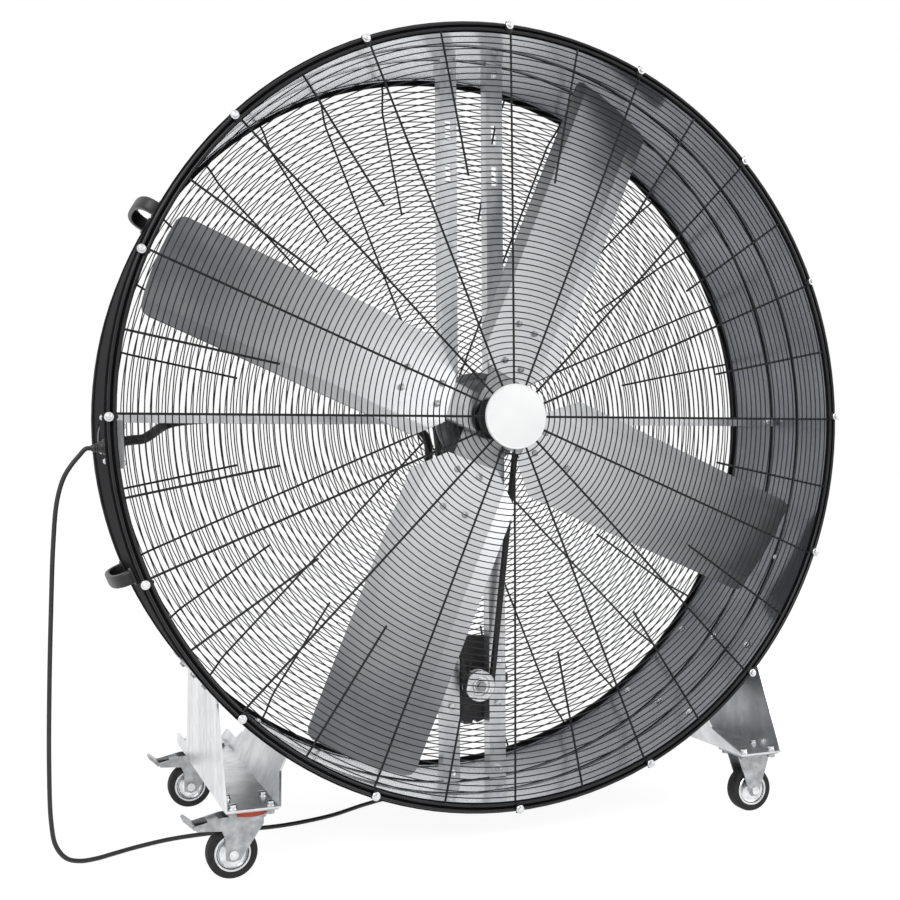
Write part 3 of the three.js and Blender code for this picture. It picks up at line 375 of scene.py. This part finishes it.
def cordRoute():
    v = cordValues
    r = v["radius"]
    floor = r + 0.1
    pitch = 2 * r + v["coilClearance"]
    inner = 8.15 * r
    tilt = tau / v["wallSides"]
    out = Vector((-cos(tilt), 0, -sin(tilt)))
    drop = v["gripBelowAxis"]
    wall = v["wall"] * cos(pi / v["wallSides"])
    seat = Vector((-(wall - drop * sin(tilt)) / cos(tilt), v["gripY"], axisHeight / mm - drop))
    start = seat + out * v["gripLength"]
    cx, cy = v["coilCentre"]
    coilY = cy - inner - pitch * v["turns"] / 2
    coilStart = cx - 2 * r - 0.3
    hanging = [(start.x - a, start.y + b, start.z * c) for a, b, c in cordSwing]
    along = [(coilStart + share * (start.x - coilStart), y, floor)
             for share, y in (*cordUnder, (0.125, coilY - 6), (0.062, coilY))]
    route = [start, start + out * 2 * r, *hanging, *along]
    loose = centripetal([*route, (coilStart - 14, coilY, floor), (coilStart, coilY, floor)])
    count = v["turns"] * v["turnSteps"]
    middle = v["turns"] / 2
    coil = []
    for i in range(count + 1):
        turn = i / v["turnSteps"]
        radius = inner + pitch * abs(turn - middle)
        climb = min(max(2 * (turn - middle) + 0.5, 0), 1)
        angle = tau * turn - pi / 2
        coil.append(Vector((cx + radius * cos(angle), cy + radius * sin(angle), floor + pitch * climb)))
    last = coil[-1]
    end = [last + Vector((diameters * 2 * r, 0, 0)) for diameters in (0.5, 2, 4.5)]
    return [*loose, coil[0] - Vector((r, 0, 0)), *coil, *end], start, out


def openCurve(name, points):
    line = bpy.data.curves.new(name, "CURVE")
    line.dimensions = "3D"
    spline = line.splines.new("POLY")
    spline.points.add(len(points) - 1)
    for point, place in zip(spline.points, points):
        point.co = (*place, 1)
    piece = bpy.data.objects.new(name, line)
    bpy.context.scene.collection.objects.link(piece)
    return piece


def lengthOf(points):
    return sum((b - a).length for a, b in zip(points, points[1:]))


def makeCord():
    route, start, out = cordRoute()
    piece = openCurve("supplyCord", [place * mm for place in route])
    piece.data.bevel_depth = cordValues["radius"] * mm
    piece.data.bevel_resolution = 3
    piece.data.use_fill_caps = True
    total = lengthOf(route) * mm
    print("cord", round(total, 4), "m from", tuple(round(c, 5) for c in start * mm))
    finished(piece, "cordSheath", "chassis", "power_cord", "cord_coil")
    return piece, start * mm, out, route[-1] * mm, total


def makeGrip(start, out):
    profile = [(0, 0), (4.6, 0), (4.9, 2), (6.4, 5.2), (5.6, 6), (6.9, 8.6), (6.1, 9.4), (7.5, 12), (8.6, 13.6),
               (9.2, 16.4), (11.2, 17.2), (11.9, 18.4), (11.9, 21.4), (11.4, 21.9), (0, 21.9)]
    piece = lathe("cordGrip", profile, 32, closed=False)
    settle(piece, facing(start - out * 0.1 * mm, out))
    return finished(piece, "blackPlastic", "chassis", "cord_gland")


plugValues = dict(pinApart=12.7, pinWide=6.4, earthBelow=6.4)
plugProfile = [(0, 0.3), (4.5, 0.3), (5, 3), (4.7, 4), (5.6, 7), (5.2, 8), (6, 12), (5.8, 13), (6.6, 18),
               (7.2, 21), (9.8, 24), (10.5, 26), (10.5, 40), (9.9, 43), (10.5, 46), (10.5, 57), (9.6, 59.4),
               (0, 60)]


def makePlug(end):
    v = plugValues
    body = lathe("plugBody", plugProfile, 32, closed=False)
    settle(body, Matrix.Translation(end) @ turnToX)
    finished(body, "cordSheath", "chassis", "power_plug")
    pins = []
    for side in (-0.5, 0.5):
        flat = plateOf("flatPin", [(58, -0.8), (75.2, -0.8), (76, 0), (75.2, 0.8), (58, 0.8)], v["pinWide"])
        middle = Vector((0, side * v["pinApart"] * mm, -v["pinWide"] / 2 * mm))
        pins.append(settle(flat, Matrix.Translation(end + middle)))
    earth = lathe("roundPin", [(0, 58), (2.4, 58), (2.4, 77.4), (1.4, 79), (0, 79)], 20, closed=False)
    pins.append(settle(earth, Matrix.Translation(end + Vector((0, 0, -v["earthBelow"] * mm))) @ turnToX))
    return body, finished(joined("plugPins", pins), "brightSteel", "chassis")


cord, cordStart, cordOut, cordEnd, cordLength = makeCord()
grip = makeGrip(cordStart, cordOut)
plug, plugPins = makePlug(cordEnd)
print("cord made")

drumValues = dict(inside=638.5, outside=641.2, steps=144, beads=(-152, 51), ribs=(-83, -4), beadHeight=2.4,
                  lining=(-178, 112), rockerGap=(0.6, 3))


def drumProfile():
    v = drumValues
    o, i = v["outside"], v["inside"]
    outer = [(628, -184), (642.6, -184), (645, -183), (646, -180.6), (646, -174), (645, -171.4), (643, -170),
             (o, -168.6)]
    for bead in v["beads"]:
        h = v["beadHeight"]
        outer += [(o, bead - 6), (o + 0.6 * h, bead - 3.6), (o + h, bead), (o + 0.6 * h, bead + 3.6),
                  (o, bead + 6)]
    outer += [(o, 110.5), (639.6, 114.6), (636.2, 118.8), (634, 120), (629.6, 120), (629, 119.4)]
    inner = [(629, 117.6), (629.6, 117), (633.6, 117), (636.6, 113.6), (i, 109.6)]
    for rib in reversed(v["ribs"]):
        inner += [(i, rib + 5), (i - 1.6, rib + 2.8), (i - 2.2, rib), (i - 1.6, rib - 2.8), (i, rib - 5)]
    return [*outer, *inner, (i, -179.4), (636.8, -181), (628.4, -181), (628, -181.6)]


def cutRockerOpening(drum):
    wide, tall = drumValues["rockerGap"]
    low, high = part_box("switch_rocker")
    middle, size = (low + high) / 2, high - low
    pick()
    bpy.ops.mesh.primitive_cube_add(size=1, location=(-0.64, middle.y, middle.z - axisHeight),
                                    scale=(0.02, size.y + wide * mm, size.z + tall * mm))
    cutter = settle(bpy.context.object)
    applied(drum, "BOOLEAN", object=cutter, operation="DIFFERENCE", solver="EXACT")
    bpy.data.objects.remove(cutter)


def makeDrum():
    v = drumValues
    drum = lathe("drumSkin", drumProfile(), v["steps"])
    cutRockerOpening(drum)
    finished(drum, "drumPaint", "chassis", "drum_shell", angle=28)
    drum.data.materials.append(finishes["liningPaint"])
    front, rear = v["lining"]
    for face in drum.data.polygons:  # the inner wall, apart from its ribs, which keep the near-black paint as painted shade
        y = face.center.y / mm
        outward = Vector((face.center.x, 0, face.center.z)).normalized()
        ribInPaintedShade = any(abs(y - rib) < 3 for rib in v["ribs"])
        if front < y < rear and face.normal.dot(outward) < -0.5 and not ribInPaintedShade:
            face.material_index = 1
    settle(drum, atAxis)


makeDrum()
print("drum made")

guardValues = dict(pitch=9.95, firstWire=62, hubRing=52, wire=1.0, spoke=1.9, rimWire=2.5, rims=(632, 640.2),
                   rearRim=631.5, spokes=16, frontDish=5, sides=6, steps=132,
                   stations=(46, 120, 220, 320, 396, 460, 520, 583, 595, 607, 619), shortFrom=396)


def frontDepth(radius):
    return -187.1 - guardValues["frontDish"] * (1 - min(radius / 630, 1) ** 2)


def rearDepth(radius):
    share = min(max((radius - 583) / 48, 0), 1)
    return 148.2 - 25 * share * share * (3 - 2 * share)


def makeWireRings(circles):  # circles of radius, Y and thickness
    v = guardValues
    pick()
    bpy.ops.mesh.primitive_circle_add(vertices=v["sides"], radius=v["wire"] * mm, location=(0, 0, 0))
    rings = bpy.context.object
    edit(rings)
    bpy.ops.mesh.delete(type="VERT")
    for radius, y, thickness in circles:
        bpy.ops.mesh.select_all(action="DESELECT")
        bpy.ops.mesh.primitive_circle_add(vertices=v["sides"], radius=thickness * mm,
                                          location=(radius * mm, y * mm, 0))
    bpy.ops.mesh.select_all(action="SELECT")
    bpy.ops.mesh.spin(steps=v["steps"], angle=tau, center=(0, 0, 0), axis=(0, 1, 0))
    tidyMesh(rings)
    return rings


def makeSpoke(depth, facingWay, stations):
    v = guardValues
    pick()
    first = (stations[0] * mm, (depth(stations[0]) - facingWay * v["spoke"]) * mm, 0)
    bpy.ops.mesh.primitive_circle_add(vertices=8, radius=v["spoke"] * mm, fill_type="NGON", location=first,
                                      rotation=(0, pi / 2, 0))
    spoke = settle(bpy.context.object)
    edit(spoke)
    for a, b in zip(stations, stations[1:]):
        step = ((b - a) * mm, (depth(b) - depth(a)) * mm, 0)
        bpy.ops.mesh.extrude_region_move(TRANSFORM_OT_translate={"value": step})
    tidyMesh(spoke)
    return spoke


def makeGuard(name, depth, facingWay, last, node):
    v = guardValues
    count = int((last - v["firstWire"]) / v["pitch"]) + 1
    wires = [(v["firstWire"] + i * v["pitch"], v["wire"]) for i in range(count)]
    circles = [(r, depth(r) + facingWay * v["wire"] * 0.9, thickness)
               for r, thickness in (*wires, (v["hubRing"], v["spoke"]))]
    if facingWay > 0:  # the front guard's rims are glossy rings of their own
        circles.append((v["rearRim"], depth(v["rearRim"]), v["rimWire"]))
    made = [makeWireRings(circles)]
    for start, shift in ((v["stations"][0], 0), (v["shortFrom"], 0.5)):  # whole spokes, short ones between
        stations = [r for r in (*v["stations"], last + 9) if r >= start]
        turns = [Matrix.Rotation(-tau * (k + shift) / v["spokes"], 4, "Y") for k in range(v["spokes"])]
        made.append(repeated("spokes", makeSpoke(depth, facingWay, stations), turns))
    guard = settle(joined(name, made), atAxis)
    return finished(guard, "wirePaint", "chassis", node, angle=60)


def makeRimRings():
    rings = []
    wire = guardValues["rimWire"]
    for radius in guardValues["rims"]:
        turns = [tau * k / 12 for k in range(12)]
        profile = [(radius + wire * cos(turn), frontDepth(radius) + wire * sin(turn)) for turn in turns]
        rings.append(lathe("rimRing", profile, 144))
    whole = settle(joined("rimRings", rings), atAxis)
    return finished(whole, "rimGloss", "chassis", angle=60)


makeRimRings()
makeGuard("frontWires", frontDepth, -1, 625, "front_guard")
makeGuard("rearWires", rearDepth, 1, 622, "rear_guard")
print("guards made")

badgeProfile = [(0, -200.4), (48.5, -200.4), (50.2, -199.9), (51, -200.4), (52.4, -200.5), (53.3, -199.7),
                (53.5, -198), (53.5, -195.2), (52.8, -194.7), (0, -194.7)]
badge = settle(lathe("badgeDisc", badgeProfile, 96, closed=False), atAxis)
finished(badge, "badgeWhite", "chassis", "guard_badge")

screwValues = dict(count=16, ring=640, front=-192.9, turned=0.459, washer=6.8, head=4.6, height=3.2,
                   rearRing=634.6, rear=120.1, tabHalf=6.6, tabThick=3, tabY=-189.8)


def screwModel(washer, head, height, sides=20):
    profile = [(0, -height - 1.5), (head * 0.55, -height - 1.4), (head * 0.86, -height - 0.7),
               (head, -height * 0.5 - 1), (head, -1.6), (washer - 0.5, -1.5), (washer, -1.1), (washer, 0),
               (0, 0)]
    return lathe("screw", profile, sides, closed=False)


def hexModel(across, height, washer):
    profile = [(0, -1.6), (washer - 0.4, -1.6), (washer, -1.2), (washer, 0), (0, 0)]
    plate = lathe("hexBase", profile, 24, closed=False)
    corner = across / 2 / cos(pi / 6)
    corners = [(corner * cos(k * pi / 3), corner * sin(k * pi / 3)) for k in range(6)]
    hexagon = plateOf("hexHead", corners, height, 0.5)
    settle(hexagon, shifted(0, -1.5 * mm, 0) @ Matrix.Rotation(pi / 2, 4, "X"))
    return joined("hexBolt", [plate, hexagon])


def makeRimScrews():
    v = screwValues
    angles = [360 / v["count"] * k + v["turned"] for k in range(v["count"])]
    places = [facing(onDrum(v["ring"], a, v["front"]), (0, -1, 0), -radians(a)) for a in angles]
    screws = repeated("rimScrews", screwModel(v["washer"], v["head"], v["height"]), places)
    finished(screws, "brightSteel", "chassis")
    half = v["tabHalf"]
    outline = [(5.6, -half), (5.6, half), (-6, half), (-12, 3.2), (-14, 0), (-12, -3.2), (-6, -half)]
    tab = settle(plateOf("tab", outline, v["tabThick"], 0.8), Matrix.Rotation(pi / 2, 4, "X"))
    base = shifted(0, v["tabY"] * mm, 0) @ atAxis
    out = shifted(v["ring"] * mm, 0, 0)
    tabs = repeated("rimTabs", tab, [base @ Matrix.Rotation(-radians(a), 4, "Y") @ out for a in angles])
    finished(tabs, "wirePaint", "chassis")
    rear = [facing(onDrum(v["rearRing"], a, v["rear"]), (0, 1, 0)) for a in angles]
    finished(repeated("rearRimScrews", screwModel(5.6, 4, 2.8), rear), "brightSteel", "chassis")


makeRimScrews()
print("rim made")

corners = ("front_left", "rear_left", "front_right", "rear_right")
swivelling = corners[:2]
nodeFinishes = {  # the solids that keep their shape
    "galvanised": ["left_leg", "right_leg", "left_rail", "right_rail", "left_strut", "right_strut"],
    "zincPlate": [f"{corner}_fork" for corner in corners]
                 + [f"{corner}_{kind}" for corner in swivelling for kind in ("mount_plate", "brake_pedal")],
    "brightSteel": [f"{corner}_axle" for corner in corners]
                   + ["fan_shaft", "motor_shaft", "front_bearing", "rear_bearing"],
    "bladeSheet": [f"blade_{k}" for k in (1, 2, 3, 4)],
    "castHub": ["fan_hub"],
    "castIron": ["bearing_housing"],
    "motorPaint": ["motor_plate", "motor_body", "motor_cowl", "terminal_box"],
    "beltRubber": ["drive_belt"],
    "blackPlastic": ["switch_rocker"],
    "switchGrey": ["switch_box"],
    "ringRed": [f"{corner}_swivel_ring" for corner in swivelling],
}
for finish, names in nodeFinishes.items():
    for name in names:
        nodes[name].data.materials.clear()
        nodes[name].data.materials.append(finishes[finish])
print("carried-over parts finished")

wheelValues = dict(x=(-0.467, 0.442), y=0.198, z=0.038, steps=64)
tyreProfile = [(26.3, -9.4), (27.6, -11), (34.2, -12), (36.6, -10.9), (37.8, -8), (38, -5), (38, -1.4),
               (37.2, -0.9)]
rimProfile = [(4.3, -14.9), (8.6, -14.9), (9.4, -14.2), (9.6, -10.6), (11.6, -8.6), (13.5, -8.1), (18.6, -7.4),
              (20.8, -8.2), (22.2, -9.4), (22.7, -9.2), (22.7, -6), (23.6, -6), (23.8, -10.8), (24.5, -12.2),
              (26.5, -12.4), (27.4, -11.4), (27.2, -10.2), (25.9, -8.8)]


def mirrored(profile):
    return [*profile, *[(radius, -y) for radius, y in reversed(profile)]]


def makeWheels():
    v = wheelValues
    rim = lathe("rim", mirrored(rimProfile), v["steps"])
    tyre = lathe("tyre", mirrored(tyreProfile), v["steps"])
    groove = lathe("groove", mirrored([(22.8, -7.6), (23.5, -7.6)]), 48)
    tyre = joined("tyre", [groove, tyre])
    for corner in corners:
        x = v["x"]["right" in corner]
        y = v["y"] * (-1 if "front" in corner else 1)
        for model, kind, finish in ((rim, "rim", "brightSteel"), (tyre, "tyre", "tyreRubber")):
            piece = named(copied(model, shifted(x, y, v["z"])), f"{corner}_{kind}_turned")
            finished(piece, finish, f"{corner}_wheel", f"{corner}_{kind}")
    bpy.data.objects.remove(rim)
    bpy.data.objects.remove(tyre)


makeWheels()
print("wheels made")

handleValues = dict(foot=641.6, reach=36, half=77, thick=8.5, arm=15, width=21, y=-12,
                    angles=dict(upper_handle=150, lower_handle=-157.5))


def bow(half, rise, steps=14):
    line = []
    for k in range(steps + 1):
        turn = pi * k / steps
        across = -half * (1 if cos(turn) > 0 else -1) * abs(cos(turn)) ** 0.75
        line.append((across, rise * abs(sin(turn)) ** 0.62))
    return line


def makeHandles():
    v = handleValues
    wide = v["width"]
    outside = [(a, v["foot"] + r) for a, r in bow(v["half"], v["reach"])]
    inside = [(a, v["foot"] + r) for a, r in bow(v["half"] - v["arm"], v["reach"] - v["thick"])]
    bar = plateOf("bar", [*outside, *reversed(inside)], wide, 3.4, 3)
    foot = plateOf("foot", [(-12, 0), (-12, 3), (-9, 4.2), (9, 4.2), (12, 3), (12, 0)], wide + 5, 0.8)
    ends = [end * (v["half"] - 7) * mm for end in (-1, 1)]
    feet = repeated("feet", foot, [shifted(x, v["foot"] * mm, -2.5 * mm) for x in ends])
    handle = joined("handle", [feet, bar])
    upright = Matrix(((0, 0, 1, 0), (1, 0, 0, v["y"] * mm), (0, 1, 0, 0), (0, 0, 0, 1)))
    settle(handle, upright @ shifted(0, 0, -wide / 2 * mm))
    for name, angle in v["angles"].items():
        turned = atAxis @ Matrix.Rotation(pi / 2 - radians(angle), 4, "Y")
        finished(named(copied(handle, turned), name + "_bow"), "blackPlastic", "chassis", name)
    bpy.data.objects.remove(handle)


makeHandles()
print("handles made")

conduitValues = dict(radius=7.9, valley=6.7, pitch=3.2, port=(-615.03, -36, -38), entry=(-100.3, 60.6, -433.2),
                     behind=24)
# from the switch box up behind the strut: along X, the share of the way back, and up
conduitLead = [(0.3, 0, 0), (9, 0, 0), (18, 0.03, 1), (28.5, 0.1, 2.5), (43, 0.21, 4), (55, 0.37, 10.3),
               (62.6, 0.53, 15), (70.5, 0.73, 20.3), (80, 0.92, 25.5), (89, 0.99, 29.5), (102, 1, 32.8)]
# along the strut and down behind the rail: X, behind the strut's line, and Z from the axis
conduitRun = [(-465.03, 0, 0), (-400, 0, 0), (-250, 0, 0), (-130, 0, -2), (-78, 1, -26), (-69, 4, -80),
              (-76, 12, -200)]


def conduitRoute():
    v = conduitValues
    px, py, pz = v["port"]
    x, y, z = v["entry"]
    points = [(px + dx, py + share * (v["behind"] - py), pz + dz) for dx, share, dz in conduitLead]
    points += [(x, v["behind"] + dy, z) for x, dy, z in conduitRun]
    points += [(x, y, -360), (x, y, z + 17.7), (x, y, z)]
    return [(p + Vector((0, 0, axisHeight / mm))) * mm for p in centripetal(points)]


def makeConduit():
    v = conduitValues
    route = conduitRoute()
    path = openCurve("conduitLine", route)
    length = lengthOf(route)
    count = int(length / (v["pitch"] * mm))
    step = length / mm / count
    profile = [(v["valley"], 0), (v["radius"], 0.28 * step), (v["radius"], 0.62 * step), (v["valley"], step)]
    conduit = settle(lathe("ribbedConduit", profile, 16, closed=False), turnToX)
    applied(conduit, "ARRAY", count=count, use_relative_offset=False, use_constant_offset=True,
            constant_offset_displace=(step * mm, 0, 0), use_merge_vertices=True, merge_threshold=0.0002)
    applied(conduit, "CURVE", object=path, deform_axis="POS_X")
    edit(conduit)
    bpy.ops.mesh.fill_holes(sides=0)
    bpy.ops.mesh.normals_make_consistent(inside=False)
    bpy.ops.object.mode_set(mode="OBJECT")
    bpy.data.objects.remove(path)
    finished(conduit, "blackPlastic", "chassis", "motor_conduit", angle=50)
    nutProfile = [(8.2, 0), (11.4, 0), (11.8, 0.6), (11.8, 6.4), (11, 7.4), (9.6, 8), (9.2, 12), (8.2, 12.4)]
    ends = [facing(route[0], (-1, 0, 0)), facing(route[-1], (0, 0, -1))]
    nuts = repeated("conduitNuts", lathe("nut", nutProfile, 24), ends)
    finished(nuts, "blackPlastic", "chassis")


makeConduit()
print("conduit made")

driveValues = dict(drivenPulley=(82, 12.9, 26, 3.5), motorPulley=(27.5, 9.9, 13, 6), beltY=-30, nutY=-44.3,
                   grilleRings=(22, 32, 42, 52), grilleY=136.6)
atMotor = shifted(0, 0, 0.2205)


def pulleyProfile(rim, bore, hub, web):  # V groove for the belt, a sunk web on both sides
    floor = rim - 6.9
    outer = [(bore, -10), (hub, -10), (hub + 1.2, -web), (floor - 4, -web), (floor - 2.6, -9), (rim - 1, -10),
             (rim, -9), (rim, -6.6)]
    return [*outer, (floor, -6), *[(radius, -y) for radius, y in reversed([*outer, (floor, -6)])]]


def makePulleys():
    v = driveValues
    belt = shifted(0, v["beltY"] * mm, 0)
    driven = lathe("drivenPulleyTurned", pulleyProfile(*v["drivenPulley"]), 96)
    finished(settle(driven, atAxis @ belt), "zincPlate", "fan", "driven_pulley")
    small = lathe("motorPulleyTurned", pulleyProfile(*v["motorPulley"]), 64)
    finished(settle(small, atMotor @ belt), "brightSteel", "motor_rotor", "motor_pulley")
    nut = named(hexModel(14, 3.2, 8.8), "pulleyNut")
    finished(settle(nut, atMotor @ shifted(0, v["nutY"] * mm, 0)), "zincPlate", "motor_rotor")


def makeCowlGrille():
    back = driveValues["grilleY"]
    rings = []
    for r in driveValues["grilleRings"]:
        profile = [(r - 2, back), (r - 1.4, back + 1.8), (r + 1.4, back + 1.8), (r + 2, back)]
        rings.append(lathe("grilleRing", profile, 48))
    hub = lathe("grilleHub", [(0, back), (10, back), (9.2, back + 2), (0, back + 2.4)], 32, closed=False)
    grille = joined("cowlGrille", [*rings, hub])
    finished(settle(grille, atMotor), "motorPaint", "chassis")


# a thin black plate on each brake pedal is painted shade standing in for a slot in the pedal
pedalSlotShadeValues = dict(length=24, half=9, thick=1.4, x=-0.5035, z=0.0871, lean=3)


def makePedalSlotShades():
    v = pedalSlotShadeValues
    outline = [(0, -v["half"]), (0, v["half"]), (v["length"], v["half"]), (v["length"], -v["half"])]
    slotShade = plateOf("slotShade", outline, v["thick"], 0.5)
    leaning = Matrix.Rotation(pi, 4, "Z") @ Matrix.Rotation(radians(v["lean"]), 4, "Y")
    for corner, y in zip(swivelling, (-wheelValues["y"], wheelValues["y"])):
        piece = named(copied(slotShade, shifted(v["x"], y, v["z"]) @ leaning), corner + "_pedal_slot_shade")
        finished(piece, "blackPlastic", corner + "_pedal")
    bpy.data.objects.remove(slotShade)


makePulleys()
makeCowlGrille()
makePedalSlotShades()
print("pulleys and pedals made")

legBoltValues = dict(round=(-40, -55, -125, -140), rows=(-130, -23, 89), outside=644.3, inside=637.8,
                     baseX=442, baseY=198, holes=(28, 26.5), topZ=0.1084, underZ=0.1019)


def makeLegBolts():
    v = legBoltValues
    heads, nuts = [], []
    for side in v["round"]:
        way = Vector(onDrum(1000, side, 0)) - Vector((0, 0, axisHeight))
        for y in v["rows"]:
            nuts.append(facing(onDrum(v["outside"], side, y), way))
            heads.append(facing(onDrum(v["inside"], side, y), -way))
    finished(repeated("legNuts", hexModel(9, 3, 6), nuts), "zincPlate", "chassis")
    finished(repeated("drumBoltHeads", screwModel(6.2, 4.6, 3), heads), "brightSteel", "chassis")
    tops, unders = [], []
    across, along = v["holes"]
    for x in (-v["baseX"], v["baseX"]):
        for y in (-v["baseY"], v["baseY"]):
            for dx in (-across, across):
                for dy in (-along, along):
                    spot = ((x + dx) * mm, (y + dy) * mm)
                    tops.append(facing((*spot, v["topZ"]), (0, 0, 1), 0.3 * dx + 0.2 * dy))
                    unders.append(facing((*spot, v["underZ"]), (0, 0, -1), 0.5 * dx))
    finished(repeated("baseNuts", hexModel(11, 4.6, 7.2), tops), "brightSteel", "chassis")
    finished(repeated("baseBoltHeads", hexModel(12, 4.6, 6.4), unders), "zincPlate", "chassis")


railBoltValues = dict(x=44, y=-12.1, heights=(-618, -503, -430, -33, 33, 618), strutX=(-625, -72, 72, 625),
                      strutY=-9.6)


def makeRailBolts():
    v = railBoltValues
    forward = (0, -1, 0)
    places = [facing((x * mm, v["y"] * mm, axisHeight + z * mm), forward, 0.4 * z)
              for x in (-v["x"], v["x"]) for z in v["heights"]]
    finished(repeated("railBolts", hexModel(10, 4, 6.5), places), "brightSteel", "chassis")
    ends = [facing((x * mm, v["strutY"] * mm, axisHeight), forward) for x in v["strutX"]]
    finished(repeated("strutBolts", hexModel(9, 4, 6), ends), "brightSteel", "chassis")


bladeBoltValues = dict(blades=4, turned=67, pitch=18.7, y=-86, out=(102, 170), across=(-20, 20), face=5.95)


def bladeFrame(index):  # X out along the blade, Y across it, Z off its face
    v = bladeBoltValues
    angle, pitch = radians(v["turned"] + 90 * index), radians(v["pitch"])
    out = Vector((cos(angle), 0, sin(angle)))
    chord = Vector((-sin(angle), 0, cos(angle)))
    front = Vector((0, -1, 0))
    across = chord * cos(pitch) + front * sin(pitch)
    normal = front * cos(pitch) - chord * sin(pitch)
    return shifted(0, v["y"] * mm, axisHeight) @ Matrix((out, across, normal)).transposed().to_4x4()


def makeBladeBolts():
    v = bladeBoltValues
    local = [facing((u * mm, w * mm, v["face"] * mm), (0, 0, 1), u) for u in v["out"] for w in v["across"]]
    places = [bladeFrame(index) @ spot for index in range(v["blades"]) for spot in local]
    finished(repeated("bladeBolts", hexModel(9, 3.6, 5.6), places), "zincPlate", "fan")


smallScrewValues = dict(boxX=-0.6147, boxY=(-0.149, -0.072), boxZ=(0.6693, 0.6147), lidX=-0.1226,
                        lidY=(0.037, 0.084), lidZ=(0.195, 0.246), wall=641.4,
                        wallSpots=((-69, -54), (-112, -69), (-99, -3)))


def makeSmallScrews():
    v = smallScrewValues
    spots = [((v["boxX"], y, z), (1, 0, 0)) for y in v["boxY"] for z in v["boxZ"]]
    spots += [((v["lidX"], y, z), (-1, 0, 0)) for z in v["lidZ"] for y in v["lidY"]]
    for y, z in v["wallSpots"]:  # by the switch, on the outer wall
        rise = z / v["wall"]
        spots.append((onDrum(v["wall"], 180 - degrees(asin(rise)), y), (-1, 0, rise)))
    spots.append(((0.5836, -0.087, axisHeight - 0.257), (-0.915, 0, 0.403)))
    screws = repeated("smallScrews", screwModel(4.6, 3.4, 2.2, 16), [facing(p, n) for p, n in spots])
    finished(screws, "brightSteel", "chassis")


makeLegBolts()
makeRailBolts()
makeBladeBolts()
makeSmallScrews()
print("bolts made")

lightValues = dict(worldLight=0.62, floorGlow=0.93, floorShade=0.16, paper=0.8, target=(0, 0, 0.6),
                   lamps=dict(keyLight=((-2.6, -3.2, 3.4), 95, 2.4), fillLight=((3.0, -2.2, 2.2), 45, 2.0)))


def seenOrMirrored(tree):  # 1 for what the camera, a gloss or a glass sees
    path = addNode(tree, "LightPath")
    first = addNode(tree, "Math", operation="MAXIMUM")
    second = addNode(tree, "Math", operation="MAXIMUM")
    tree.links.new(path.outputs["Is Camera Ray"], first.inputs[0])
    tree.links.new(path.outputs["Is Glossy Ray"], first.inputs[1])
    tree.links.new(first.outputs[0], second.inputs[0])
    tree.links.new(path.outputs["Is Transmission Ray"], second.inputs[1])
    return second.outputs[0]


def makeFloor():
    v = lightValues
    pick()
    bpy.ops.mesh.primitive_grid_add(x_subdivisions=4, y_subdivisions=4, size=60, location=(0, 0, -0.0005))
    floor = settle(bpy.context.object)
    floor.name = "studioFloor"
    paper = bpy.data.materials.new("paper")
    paper.use_nodes = True
    tree = paper.node_tree
    link = tree.links.new
    shader = tree.nodes["Principled BSDF"]
    shader.inputs["Base Color"].default_value = (v["paper"],) * 3 + (1,)
    shader.inputs["Roughness"].default_value = 0.9
    shader.inputs["Specular IOR Level"].default_value = 0
    dim = addNode(tree, "BsdfDiffuse", {"Color": (v["floorShade"],) * 3 + (1,)})
    glow = addNode(tree, "Emission", {"Strength": v["floorGlow"]})
    both = addNode(tree, "AddShader")
    link(dim.outputs[0], both.inputs[0])
    link(glow.outputs[0], both.inputs[1])
    mix = addNode(tree, "MixShader")
    link(seenOrMirrored(tree), mix.inputs["Fac"])
    link(shader.outputs[0], mix.inputs[1])
    link(both.outputs[0], mix.inputs[2])
    link(mix.outputs[0], tree.nodes["Material Output"].inputs["Surface"])
    floor.data.materials.append(paper)


def makeWorld():
    world = bpy.data.worlds.new("studio")
    bpy.context.scene.world = world
    world.use_nodes = True
    tree = world.node_tree
    background = tree.nodes["Background"]
    background.inputs["Color"].default_value = (1, 1, 1, 1)
    level = addNode(tree, "MapRange", {"To Min": lightValues["worldLight"], "To Max": 1})
    tree.links.new(seenOrMirrored(tree), level.inputs["Value"])
    tree.links.new(level.outputs["Result"], background.inputs["Strength"])


def makeLamps():
    target = Vector(lightValues["target"])
    for name, (place, power, size) in lightValues["lamps"].items():
        pick()
        bpy.ops.object.light_add(type="AREA", location=place)
        lamp = bpy.context.object
        lamp.name = name
        lamp.data.energy = power
        lamp.data.size = size
        lamp.rotation_euler = (target - Vector(place)).to_track_quat("-Z", "Y").to_euler()


makeFloor()
makeWorld()
makeLamps()
bpy.context.scene.view_settings.view_transform = "Standard"
print("stage made")
